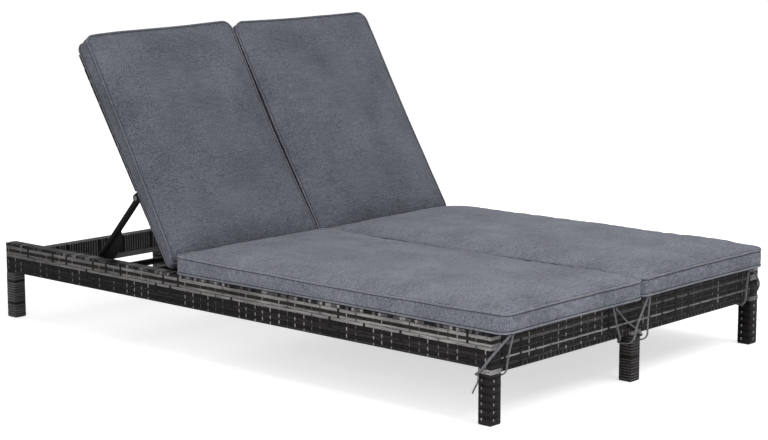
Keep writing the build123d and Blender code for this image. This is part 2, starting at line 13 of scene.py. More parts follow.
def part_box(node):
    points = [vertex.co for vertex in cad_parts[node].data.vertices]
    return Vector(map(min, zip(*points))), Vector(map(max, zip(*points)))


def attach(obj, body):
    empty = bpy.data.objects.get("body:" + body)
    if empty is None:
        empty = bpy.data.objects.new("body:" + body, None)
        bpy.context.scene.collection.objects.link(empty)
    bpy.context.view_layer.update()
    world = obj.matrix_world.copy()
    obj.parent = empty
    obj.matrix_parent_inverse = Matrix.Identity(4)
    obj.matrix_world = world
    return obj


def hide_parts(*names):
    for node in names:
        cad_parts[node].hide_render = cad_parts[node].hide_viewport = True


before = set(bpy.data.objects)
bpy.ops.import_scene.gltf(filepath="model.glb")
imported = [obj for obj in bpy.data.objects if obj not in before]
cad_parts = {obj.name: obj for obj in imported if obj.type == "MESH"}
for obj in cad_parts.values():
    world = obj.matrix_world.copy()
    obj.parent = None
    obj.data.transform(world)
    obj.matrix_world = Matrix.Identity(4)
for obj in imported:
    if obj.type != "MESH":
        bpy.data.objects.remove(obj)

LOG = logging.getLogger("lounger")
MM = 0.001
Point = tuple[float, float, float]
X, Y, Z = AXES = ((1.0, 0.0, 0.0), (0.0, 1.0, 0.0), (0.0, 0.0, 1.0))


class Grain(Enum):
    """The way a strand runs, as the stretch of its streaks along X, Y and Z."""

    ALONG_X = (9.0, 260.0, 260.0)
    ALONG_Y = (260.0, 9.0, 260.0)
    ALONG_Z = (260.0, 260.0, 9.0)


GRAINS = tuple(Grain)


class Tone(Enum):
    """The dyed colours of the rattan strands, as a dark and a light shade."""

    BLACK = ((0.0036, 0.0028, 0.0034), (0.0135, 0.0112, 0.0128))
    CHARCOAL = ((0.0085, 0.0070, 0.0080), (0.034, 0.0295, 0.032))
    UMBER = ((0.0085, 0.0072, 0.0055), (0.031, 0.027, 0.020))
    GREY = ((0.036, 0.0335, 0.0355), (0.145, 0.136, 0.139))
    PALE = ((0.105, 0.101, 0.101), (0.43, 0.415, 0.408))


@dataclass(frozen=True)
class Finish:
    """A finish that is one shader on one named material."""

    name: str
    roughness: float = 0.5

    def start(self) -> tuple[bpy.types.Material, bpy.types.NodeTree, bpy.types.Node]:
        """Make the material with its shader.

        Returns:
            The material, its node tree and its Principled shader.
        """
        material = bpy.data.materials.new(self.name)
        material.use_nodes = True
        tree = material.node_tree
        shader = tree.nodes["Principled BSDF"]
        shader.inputs["Roughness"].default_value = self.roughness
        return material, tree, shader

    @staticmethod
    def add(tree: bpy.types.NodeTree, kind: str, *numbered: object, **named: object) -> bpy.types.Node:
        """Add one node, and set or link its inputs and properties.

        Args:
            tree: The tree that it goes into.
            kind: The node's type name without its prefix.
            numbered: Values or sockets for the inputs in their order, None for one that stays.
            named: The same by input name, with spaces as underscores, or by property name.

        Returns:
            The new node.
        """
        node = tree.nodes.new("ShaderNode" + kind)
        entries = [(key.replace("_", " "), value) for key, value in named.items()]
        entries += [(index, value) for index, value in enumerate(numbered) if value is not None]
        for key, value in entries:
            if isinstance(value, bpy.types.NodeSocket):
                tree.links.new(value, node.inputs[key])
            elif isinstance(key, int) or key in node.inputs:
                node.inputs[key].default_value = value
            else:
                setattr(node, key.replace(" ", "_"), value)
        return node

    def ramp(self, tree: bpy.types.NodeTree, source: bpy.types.NodeSocket,
             low: Sequence[float], high: Sequence[float],
             start: float = 0.3, end: float = 0.7) -> bpy.types.NodeSocket:
        """Turn a grey pattern into a colour between two.

        Args:
            tree: The material's node tree.
            source: The pattern.
            low: The colour where the pattern is dark.
            high: The colour where it is light.
            start: The pattern's value that gives the low colour.
            end: The pattern's value that gives the high colour.

        Returns:
            The colour socket.
        """
        node = self.add(tree, "ValToRGB", source)
        for stop, place, colour in zip(node.color_ramp.elements, (start, end), (low, high)):
            stop.position = place
            stop.color = (*colour, 1.0)
        return node.outputs["Color"]

    def bump(self, tree: bpy.types.NodeTree, shader: bpy.types.Node,
             height: bpy.types.NodeSocket, depth: float) -> None:
        """Raise a pattern on the shader.

        Args:
            tree: The material's node tree.
            shader: The Principled shader.
            height: The pattern.
            depth: Its height in metres.
        """
        node = self.add(tree, "Bump", Height=height, Strength=1.0, Distance=depth)
        tree.links.new(node.outputs["Normal"], shader.inputs["Normal"])


@dataclass(frozen=True)
class RattanFinish(Finish):
    """A flat plastic rattan strand with lengthwise streaks and ribs, and painted shade that darkens it
    towards the head and towards the right.
    """

    tone: Tone = Tone.CHARCOAL
    grain: Grain = Grain.ALONG_Y
    head_shade_share: float = 0.46
    right_share: float = 0.62
    shine: float = 0.16
    patch_share: float = 0.45
    relief: float = 0.0005

    def make(self) -> bpy.types.Material:
        """Build the strand's material.

        Returns:
            The material.
        """
        material, tree, shader = self.start()
        place = self.add(tree, "TexCoord").outputs["Object"]
        stretch = self.add(tree, "Mapping", place, Scale=self.grain.value)
        streaks = self.add(tree, "TexNoise", stretch.outputs["Vector"], Scale=1.0, Detail=4.0,
                           Roughness=0.6)
        patches = self.add(tree, "TexNoise", place, Scale=11.0, Detail=2.0)
        both = self.add(tree, "Math", patches.outputs["Fac"], self.patch_share, streaks.outputs["Fac"],
                        operation="MULTIPLY_ADD")
        colour = self.ramp(tree, both.outputs["Value"], *self.tone.value, 0.50, 0.92)
        apart = self.add(tree, "SeparateXYZ", place)
        # Painted shade: the colour darkens towards the head and, for strands along X, towards the right,
        # standing in for light that falls off away from the foot.
        shade_ramps = [("Y", -0.55, 0.75, self.head_shade_share)]
        if self.grain is Grain.ALONG_X:
            shade_ramps.append(("X", -0.05, 0.35, self.right_share))
        for axis, start, end, share in shade_ramps:
            shade_ramp = self.add(tree, "MapRange", apart.outputs[axis], From_Min=start, From_Max=end,
                            To_Min=1.0, To_Max=share)
            shaded_colour = self.add(tree, "VectorMath", colour, operation="SCALE", Scale=shade_ramp.outputs["Result"])
            colour = shaded_colour.outputs["Vector"]
        tree.links.new(colour, shader.inputs["Base Color"])
        shader.inputs["Specular IOR Level"].default_value = self.shine
        self.bump(tree, shader, streaks.outputs["Fac"], self.relief)
        return material


@dataclass(frozen=True)
class ClothFinish(Finish):
    """Woven polyester with a fine thread grid, slubs and faded patches."""

    dark: Point = (0.10, 0.11, 0.13)
    light: Point = (0.16, 0.17, 0.20)
    tilt: float = 0.0
    threads: float = 900.0
    mottle_share: float = 0.55
    patch_share: float = 0.32
    ends: tuple[float, float] = (0.50, 0.82)
    relief: float = 0.00022

    def make(self) -> bpy.types.Material:
        """Build the cloth's material.

        Returns:
            The material.
        """
        material, tree, shader = self.start()
        shader.inputs["Sheen Weight"].default_value = 0.10
        shader.inputs["Sheen Roughness"].default_value = 0.5
        shader.inputs["Specular IOR Level"].default_value = 0.25
        place = self.add(tree, "TexCoord").outputs["Object"]
        lay = self.add(tree, "Mapping", place, Rotation=(-self.tilt, 0.0, 0.0)).outputs["Vector"]
        warp, weft = (self.add(tree, "TexWave", lay, Scale=self.threads / 6.2832, bands_direction=way,
                               Distortion=1.2, Detail=1.0).outputs["Fac"] for way in ("X", "Y"))
        grid = self.add(tree, "Math", warp, weft, operation="ADD")
        slub_lay = self.add(tree, "Mapping", lay, Scale=(34.0, 330.0, 70.0))
        slubs = self.add(tree, "TexNoise", slub_lay.outputs["Vector"], Scale=1.0, Detail=3.0,
                         Roughness=0.6)
        patches = self.add(tree, "TexNoise", place, Scale=7.0, Detail=3.0, Roughness=0.55)
        mottle = self.add(tree, "TexNoise", lay, Scale=260.0, Detail=1.0, Roughness=0.5)
        blend = self.add(tree, "Mix", self.mottle_share, None, slubs.outputs["Fac"],
                         mottle.outputs["Fac"], data_type="FLOAT")
        both = self.add(tree, "Math", patches.outputs["Fac"], self.patch_share, blend.outputs[0],
                        operation="MULTIPLY_ADD")
        colour = self.ramp(tree, both.outputs["Value"], self.dark, self.light, *self.ends)
        tree.links.new(colour, shader.inputs["Base Color"])
        self.bump(tree, shader, grid.outputs["Value"], self.relief)
        return material


@dataclass(frozen=True)
class CoatFinish(Finish):
    """Powder coat, plating or moulded plastic with a fine grain."""

    dark: Point = (0.010, 0.010, 0.011)
    light: Point = (0.020, 0.020, 0.022)
    metal: float = 0.0
    grain: float = 900.0
    relief: float = 0.00004
    shine: float = 0.5

    def make(self) -> bpy.types.Material:
        """Build the coat's material.

        Returns:
            The material.
        """
        material, tree, shader = self.start()
        shader.inputs["Metallic"].default_value = self.metal
        shader.inputs["Specular IOR Level"].default_value = self.shine
        place = self.add(tree, "TexCoord").outputs["Object"]
        fine = self.add(tree, "TexNoise", place, Scale=self.grain, Detail=2.0)
        wide = self.add(tree, "TexNoise", place, Scale=24.0, Detail=4.0)
        colour = self.ramp(tree, wide.outputs["Fac"], self.dark, self.light)
        tree.links.new(colour, shader.inputs["Base Color"])
        self.bump(tree, shader, fine.outputs["Fac"], self.relief)
        return material


class FinishShelf:
    """Every finish of the lounger, made when first asked for."""

    def __init__(self) -> None:
        """Start with an empty shelf."""
        self.made: dict[str, bpy.types.Material] = {}

    def get(self, finish: Finish) -> bpy.types.Material:
        """Give a finish's material.

        Args:
            finish: The finish.

        Returns:
            Its one material.
        """
        if finish.name not in self.made:
            self.made[finish.name] = finish.make()
        return self.made[finish.name]

    def rattan(self, tone: Tone, grain: Grain) -> bpy.types.Material:
        """Give the strand material of a tone that runs one way.

        Args:
            tone: The strand's colour.
            grain: The way it runs.

        Returns:
            The material.
        """
        name = f"rattan_{tone.name.lower()}_{grain.name.lower()}"
        return self.get(RattanFinish(name, 0.42, tone=tone, grain=grain))


SHELF = FinishShelf()
# A near-black coat, darkened further as painted shade for the prop and steelwork that lie in shade.
STEEL_WITH_PAINTED_SHADE = CoatFinish("black_powder_coat", 0.55, dark=(0.0035, 0.0033, 0.0036),
                   light=(0.0085, 0.0080, 0.0088), shine=0.14)
ZINC = CoatFinish("zinc_plate", 0.38, dark=(0.16, 0.165, 0.17), light=(0.26, 0.265, 0.27), metal=1.0)
NYLON = CoatFinish("black_nylon", 0.5, dark=(0.012, 0.012, 0.013), light=(0.022, 0.022, 0.024),
                   shine=0.3)
BACK_LEAN = math.radians(57.5)
SEAT_CLOTH = ClothFinish("seat_cloth", 0.9, dark=(0.108, 0.115, 0.145), light=(0.250, 0.262, 0.311),
                         ends=(0.53, 0.79))
SEAT_PIPING = ClothFinish("seat_piping", 0.9, dark=(0.150, 0.158, 0.188), light=(0.296, 0.308, 0.350))
# The thread finishes are dark lines beside the piping: partly stitching, partly painted shade in the
# seam's groove.
SEAT_THREAD_AND_SEAM_SHADE = ClothFinish("seat_thread", 0.95, dark=(0.048, 0.050, 0.060), light=(0.075, 0.078, 0.092))
# The back's cloth, piping and thread are darker copies of the seat's: painted shade for the backs, which
# lean away from the light.
SHADED_BACK_CLOTH = ClothFinish("back_cloth", 0.9, dark=(0.062, 0.068, 0.088), light=(0.176, 0.186, 0.222),
                         tilt=BACK_LEAN, mottle_share=0.66)
SHADED_BACK_PIPING = ClothFinish("back_piping", 0.9, dark=(0.096, 0.103, 0.127), light=(0.20, 0.21, 0.246),
                          tilt=BACK_LEAN)
SHADED_BACK_THREAD_AND_SEAM_SHADE = ClothFinish("back_thread", 0.95, dark=(0.036, 0.038, 0.046), light=(0.058, 0.061, 0.072),
                          tilt=BACK_LEAN)
TAPE_CLOTH = ClothFinish("tape_cloth", 0.85, dark=(0.135, 0.137, 0.148), light=(0.235, 0.238, 0.252),
                         threads=2400.0)


class Bench:
    """The few hand operations that every piece is made with."""

    @staticmethod
    def clear() -> None:
        """Leave edit mode and deselect everything."""
        if bpy.context.object and bpy.context.object.mode != "OBJECT":
            bpy.ops.object.mode_set(mode="OBJECT")
        bpy.ops.object.select_all(action="DESELECT")

    @classmethod
    def hold(cls, obj: bpy.types.Object) -> bpy.types.Object:
        """Select one object alone and make it active.

        Args:
            obj: The object.

        Returns:
            The same object.
        """
        cls.clear()
        obj.select_set(True)
        bpy.context.view_layer.objects.active = obj
        return obj

    @classmethod
    def settle(cls, obj: bpy.types.Object) -> bpy.types.Object:
        """Bake an object's place into its mesh.

        Args:
            obj: The object.

        Returns:
            The same object, at the origin.
        """
        cls.hold(obj)
        bpy.ops.object.transform_apply(location=True, rotation=True, scale=True)
        return obj

    @classmethod
    def join(cls, parts: Sequence[bpy.types.Object], name: str) -> bpy.types.Object:
        """Join meshes into one named piece.

        Args:
            parts: The meshes, the first of which stays.
            name: The piece's name.

        Returns:
            The joined piece.
        """
        cls.clear()
        for part in parts:
            part.select_set(True)
        bpy.context.view_layer.objects.active = parts[0]
        if len(parts) > 1:
            bpy.ops.object.join()
        piece = bpy.context.view_layer.objects.active
        piece.name = name
        piece.data.name = name
        return piece

    @classmethod
    def apply(cls, obj: bpy.types.Object) -> None:
        """Apply every modifier of an object in order.

        Args:
            obj: The object.
        """
        cls.hold(obj)
        for modifier in list(obj.modifiers):
            bpy.ops.object.modifier_apply(modifier=modifier.name)

    @classmethod
    def edit(cls, obj: bpy.types.Object) -> None:
        """Open a mesh in edit mode with all of it selected.

        Args:
            obj: The mesh's object.
        """
        cls.hold(obj)
        bpy.ops.object.mode_set(mode="EDIT")
        bpy.ops.mesh.select_all(action="SELECT")

    @classmethod
    def face_out(cls, obj: bpy.types.Object) -> None:
        """Turn every face of a closed mesh outwards.

        Args:
            obj: The mesh's object.
        """
        cls.edit(obj)
        bpy.ops.mesh.normals_make_consistent(inside=False)
        bpy.ops.object.mode_set(mode="OBJECT")

    @classmethod
    def smooth(cls, obj: bpy.types.Object, angle: float = 35.0) -> None:
        """Shade a piece smooth up to an angle.

        Args:
            obj: The piece.
            angle: The angle in degrees.
        """
        cls.hold(obj)
        bpy.ops.object.shade_smooth_by_angle(angle=math.radians(angle))

    @classmethod
    def core(cls, low: Point, high: Point, bevel: float,
             material: bpy.types.Material) -> bpy.types.Object:
        """Make a block with eased edges, which strands are laid on.

        Args:
            low: Its lowest corner in metres.
            high: Its highest corner.
            bevel: The width of its eased edges.
            material: Its material.

        Returns:
            The block.
        """
        cls.clear()
        bpy.ops.mesh.primitive_cube_add(size=1.0)
        block = bpy.context.object
        block.scale = [b - a for a, b in zip(low, high)]
        block.location = [(a + b) / 2 for a, b in zip(low, high)]
        cls.settle(block)
        cls.edit(block)
        bpy.ops.mesh.bevel(offset=bevel, segments=2, affect="EDGES")
        bpy.ops.object.mode_set(mode="OBJECT")
        block.data.materials.append(material)
        return block

    @staticmethod
    def curve(name: str, materials: Sequence[bpy.types.Material], **settings: object) -> bpy.types.Curve:
        """Start a curve in space.

        Args:
            name: Its name.
            materials: Its materials.
            settings: Its other settings by name.

        Returns:
            The curve.
        """
        curve = bpy.data.curves.new(name, "CURVE")
        curve.dimensions = "3D"
        for key, value in settings.items():
            setattr(curve, key, value)
        for material in materials:
            curve.materials.append(material)
        return curve

    @staticmethod
    def draw(curve: bpy.types.Curve, points: Sequence[Sequence[float]], closed: bool = False,
             kind: str = "POLY") -> bpy.types.Spline:
        """Draw one line of a curve.

        Args:
            curve: The curve.
            points: The line's points.
            closed: Whether it ends where it starts.
            kind: The line's type.

        Returns:
            The line.
        """
        spline = curve.splines.new(kind)
        spline.points.add(len(points) - 1)
        for spot, place in zip(spline.points, points):
            spot.co = (*place, 1.0)
        spline.use_cyclic_u = closed
        return spline

    @classmethod
    def mesh(cls, curve: bpy.types.Curve, matrix: Matrix = Matrix.Identity(4)) -> bpy.types.Object:
        """Turn a curve into a closed mesh at its place.

        Args:
            curve: The curve.
            matrix: From the drawing to the lounger.

        Returns:
            The mesh, with its object at the origin.
        """
        obj = bpy.data.objects.new(curve.name, curve)
        bpy.context.collection.objects.link(obj)
        obj.matrix_world = matrix
        cls.hold(obj)
        bpy.ops.object.convert(target="MESH")
        mesh = bpy.context.object
        mesh.data.transform(mesh.matrix_world)
        mesh.matrix_world = Matrix.Identity(4)
        cls.face_out(mesh)
        return mesh


@dataclass
class Strand:
    """One flat strand of a weave, drawn in a plane with its width across that plane."""

    points: list[Point]
    tone: Tone
    closed: bool = False


class Loom:
    """Lays flat strands along drawn lines."""

    @staticmethod
    def lay(strands: Sequence[Strand], half_width: float, thickness: float,
            matrix: Matrix, grain: Grain) -> bpy.types.Object:
        """Lay strands of one width as solid bands.

        Args:
            strands: The strands, drawn in local X and Y, with Z as their level.
            half_width: Half a strand's width, across the drawing plane.
            thickness: A strand's thickness.
            matrix: From the drawing to the lounger.
            grain: The way the strands run on the lounger.

        Returns:
            A mesh with the bands.
        """
        tones = sorted({strand.tone.name for strand in strands})
        curve = Bench.curve("strands", [SHELF.rattan(Tone[tone], grain) for tone in tones],
                            twist_mode="Z_UP", fill_mode="FULL", extrude=half_width - thickness / 2,
                            bevel_depth=thickness / 2, bevel_resolution=0, use_fill_caps=True)
        for strand in strands:
            spline = Bench.draw(curve, strand.points, strand.closed)
            spline.material_index = tones.index(strand.tone.name)
        return Bench.mesh(curve, matrix)

    @staticmethod
    def finish(parts: Sequence[bpy.types.Object], name: str, slot: str, body: str,
               nodes: Iterable[str]) -> bpy.types.Object:
        """Join strands into the piece that stands for CAD nodes.

        Args:
            parts: The meshes of the piece.
            name: The piece's name.
            slot: The record's material slot; not used.
            body: The body that it rides on.
            nodes: The CAD nodes that it replaces.

        Returns:
            The finished piece.
        """
        piece = Bench.join(parts, name)
        Bench.smooth(piece)
        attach(piece, body)
        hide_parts(*nodes)
        LOG.info("%s: %d faces", name, len(piece.data.polygons))
        return piece


def corners(node: str) -> tuple[Point, Point]:
    """Give the corners of a CAD node's box.

    Args:
        node: The node.

    Returns:
        The lowest and the highest corner.
    """
    low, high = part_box(node)
    return tuple(low), tuple(high)


def basis(x_axis: Point, y_axis: Point, z_axis: Point, origin: Point = (0.0, 0.0, 0.0)) -> Matrix:
    """Give the matrix that takes local axes to the lounger's.

    Args:
        x_axis: Where local X goes.
        y_axis: Where local Y goes.
        z_axis: Where local Z goes.
        origin: Where the local origin goes.

    Returns:
        The matrix.
    """
    turn = Matrix((x_axis, y_axis, z_axis)).transposed().to_4x4()
    return Matrix.Translation(origin) @ turn


EASY_TURNS = (0.15, 0.5, 0.85)
SHARP_TURNS = (0.1, 0.5, 0.9)


@dataclass
class Row:
    """One lengthwise strand row of a woven beam."""

    height: float
    half_width: float
    tone: Tone
    over_odd: bool = False

    def dips(self, stake: int) -> bool:
        """Tell whether the row goes under an upright stake.

        Args:
            stake: The stake's number.

        Returns:
            Whether it does.
        """
        return (stake % 2 == 1) == self.over_odd


@dataclass
class WovenBeam:
    """A box beam covered in long strands, with upright stakes woven through them."""

    name: str
    node: str
    along_y: bool
    rows: list[Row]
    binding: bool
    stake_odds: tuple[float, float, float] = (0.5, 0.2, 0.3)
    pitch: float = 30.3 * MM
    thickness: float = 1.2 * MM
    high_lay: float = 0.65 * MM
    low_lay: float = 1.9 * MM
    uneven: float = 0.12
    under_reach: float = 1.2 * MM
    over_share: float = 0.30
    corner: float = 4.0 * MM
    thin: float = 2.0 * MM
    thick: float = 3.6 * MM
    shift: float = 2.4 * MM
    stake_thickness: float = 0.9 * MM
    stake_out: float = 0.5 * MM
    stake_in: float = 2.5 * MM
    stake_turn: float = 2.6 * MM
    stake_top: float = 1.0 * MM
    stake_foot: float = 1.6 * MM
    stake_grip: float = 0.62
    binding_share: float = 3.0
    binding_gap: float = 0.7 * MM
    binding_drop: float = 7.2 * MM
    binding_lay: float = 0.6 * MM
    binding_ease: float = 1.6 * MM
    binding_slant: float = 2.6 * MM
    cover_thickness: float = 1.1 * MM
    under_lay: float = 0.8 * MM
    under_pitch: float = 12.0 * MM
    under_half: float = 5.6 * MM
    core_inset: float = 2.7 * MM
    core_bevel: float = 1.5 * MM
    seed: int = 3
    low: Point = field(init=False)
    high: Point = field(init=False)

    def __post_init__(self) -> None:
        """Take the beam's place from its CAD node."""
        self.low, self.high = corners(self.node)
        self.random = random.Random(self.seed)
        long, cross = (1, 0) if self.along_y else (0, 1)
        self.half_long, self.half_cross = ((self.high[axis] - self.low[axis]) / 2
                                           for axis in (long, cross))
        self.count = int(round(2 * self.half_long / self.pitch))
        self.step = 2 * self.half_long / self.count
        self.long_dir, self.cross_dir = AXES[long], AXES[cross]
        self.grain, self.cross_grain = GRAINS[long], GRAINS[cross]
        self.centre = ((self.low[0] + self.high[0]) / 2, (self.low[1] + self.high[1]) / 2, 0.0)
        kinds = ((Tone.PALE, self.thin), (Tone.GREY, self.thin), (Tone.BLACK, self.thick))
        self.stakes = [self.random.choices(kinds, self.stake_odds)[0] for _ in range(self.count)]
        self.places = [-self.half_long + (stake + 0.5) * self.step
                       + self.random.uniform(-self.shift, self.shift) for stake in range(self.count)]

    def row_loop(self, row: Row) -> Strand:
        """Draw one row round the beam, over and under its stakes.

        Args:
            row: The row.

        Returns:
            The closed strand, with its level at the row's height.
        """
        points: list[Point] = []
        for side in (1, -1):
            stakes = range(self.count) if side > 0 else range(self.count - 1, -1, -1)
            for stake in stakes:
                lay = self.low_lay if row.dips(stake) else self.high_lay
                lay += self.random.uniform(-self.uneven, self.uneven) * MM
                across = -side * (self.half_cross - lay)
                reach = (self.stakes[stake][1] + self.under_reach if row.dips(stake)
                         else self.over_share * self.step)
                for turn in (-1, 1):
                    along = self.places[stake] + side * turn * reach
                    if abs(along) < self.half_long - self.corner:
                        points.append((along, across, row.height))
            points.extend(self.corner_points(side, row.height))
        return Strand(points, row.tone, closed=True)

    def corner_points(self, side: int, height: float) -> list[Point]:
        """Draw a row's way round one end of the beam.

        Args:
            side: 1 for the far end, -1 for the near one.
            height: The row's height.

        Returns:
            The points round both corners.
        """
        points: list[Point] = []
        end = side * (self.half_long - self.high_lay)
        for face in (-1, 1):
            for turn in EASY_TURNS[::-face]:
                bend = turn * math.pi / 2
                inset = self.corner * (1 - math.sin(bend))
                drop = self.corner * (1 - math.cos(bend))
                across = face * side * (self.half_cross - self.high_lay - drop)
                points.append((end - side * inset, across, height))
        return points

    def stake_ring(self, stake: int) -> Strand:
        """Draw one upright stake round the beam, over the rows that dip.

        Args:
            stake: The stake's number.

        Returns:
            The closed strand, with its level along the beam.
        """
        points: list[Point] = []
        place = self.places[stake]
        rows = sorted(self.rows, key=lambda row: row.height)
        for side in (1, -1):
            for row in rows if side > 0 else reversed(rows):
                lay = self.stake_out if row.dips(stake) else self.stake_in
                for turn in (-self.stake_grip, self.stake_grip):
                    height = row.height + side * turn * row.half_width
                    points.append((side * (self.half_cross - lay), height, place))
            edge = self.high[2] - self.stake_top if side > 0 else self.low[2] + self.stake_foot
            points.extend((turn * side * (self.half_cross - self.stake_turn), edge, place)
                          for turn in (1, -1))
        return Strand(points, self.stakes[stake][0], closed=True)

    def top_binding(self) -> list[Strand]:
        """Draw the slanted strands bound over the beam's top edge.

        Returns:
            The strands, with their level along the beam.
        """
        strands = []
        pitch = self.step / self.binding_share
        low = self.high[2] - self.binding_drop
        face = self.half_cross - self.binding_lay
        top = self.high[2] - self.binding_lay
        ease, slant = self.binding_ease, self.binding_slant
        for index in range(int(round(2 * self.half_long / pitch))):
            place = -self.half_long + (index + 0.5) * pitch
            points = [(-face, low, place - slant), (-face, top - ease, place - slant / 2),
                      (-face + ease, top, place), (0.0, top, place + slant / 2),
                      (face - ease, top, place), (face, top - ease, place - slant / 2),
                      (face, low, place - slant)]
            tone = self.random.choices((Tone.PALE, Tone.GREY, Tone.CHARCOAL, Tone.BLACK),
                                       (0.20, 0.22, 0.30, 0.28))[0]
            strands.append(Strand(points, tone))
        return strands

    def under_strands(self) -> list[Strand]:
        """Draw the long strands that close the underside.

        Returns:
            The strands.
        """
        reach = self.half_long - self.corner
        level = self.low[2] + self.under_lay
        return [Strand([(end, level, side * self.under_pitch) for end in (-reach, reach)], tone)
                for side, tone in ((-1, Tone.CHARCOAL), (0, Tone.BLACK), (1, Tone.UMBER))]

    def build(self) -> bpy.types.Object:
        """Build the beam's cover.

        Returns:
            The finished piece.
        """
        low = [value + self.core_inset for value in self.low]
        high = [value - self.core_inset for value in self.high]
        parts = [Bench.core(low, high, self.core_bevel, SHELF.rattan(Tone.BLACK, self.grain))]
        flat = basis(self.long_dir, self.cross_dir, Z, self.centre)
        stand = basis(self.cross_dir, Z, self.long_dir, self.centre)
        under = basis(self.long_dir, Z, self.cross_dir, self.centre)
        for width in sorted({row.half_width for row in self.rows}):
            loops = [self.row_loop(row) for row in self.rows if row.half_width == width]
            parts.append(Loom.lay(loops, width, self.thickness, flat, self.grain))
        for width in (self.thin, self.thick):
            rings = [self.stake_ring(stake) for stake in range(self.count)
                     if self.stakes[stake][1] == width]
            parts.append(Loom.lay(rings, width, self.stake_thickness, stand, Grain.ALONG_Z))
        if self.binding:
            width = self.step / self.binding_share / 2 - self.binding_gap
            parts.append(Loom.lay(self.top_binding(), width, self.cover_thickness, stand,
                                  self.cross_grain))
        parts.append(Loom.lay(self.under_strands(), self.under_half, self.cover_thickness, under,
                              self.grain))
        return Loom.finish(parts, self.name, "rattan", "base", [self.node])


def stack(first_over_odd: bool, *rows: tuple[float, float, Tone]) -> list[Row]:
    """Stack the rows of a beam, which go over and under by turns.

    Args:
        first_over_odd: Whether the top row dips under the odd stakes.
        rows: Each row's height and half width in millimetres, and its tone, from the top down.

    Returns:
        The rows.
    """
    return [Row(height * MM, half_width * MM, tone, (index % 2 == 0) == first_over_odd)
            for index, (height, half_width, tone) in enumerate(rows)]


SIDE_ROWS = stack(
    False, (214.2, 4.4, Tone.PALE), (205.3, 3.6, Tone.UMBER), (197.4, 3.4, Tone.PALE),
    (189.0, 4.0, Tone.PALE), (179.4, 4.6, Tone.BLACK), (169.8, 4.4, Tone.CHARCOAL),
    (160.8, 3.8, Tone.CHARCOAL), (152.2, 4.0, Tone.BLACK), (143.9, 3.6, Tone.CHARCOAL))
# The top row's black stands in partly for painted shade that the cushion's overhang casts on the apron.
FOOT_ROWS = stack(
    True, (222.0, 4.4, Tone.BLACK), (212.6, 4.4, Tone.CHARCOAL), (203.6, 3.8, Tone.UMBER),
    (194.8, 4.4, Tone.GREY), (185.6, 4.2, Tone.BLACK), (176.8, 4.0, Tone.CHARCOAL),
    (168.6, 3.4, Tone.BLACK), (161.8, 2.6, Tone.PALE), (153.8, 4.6, Tone.BLACK),
    (144.6, 4.2, Tone.CHARCOAL))


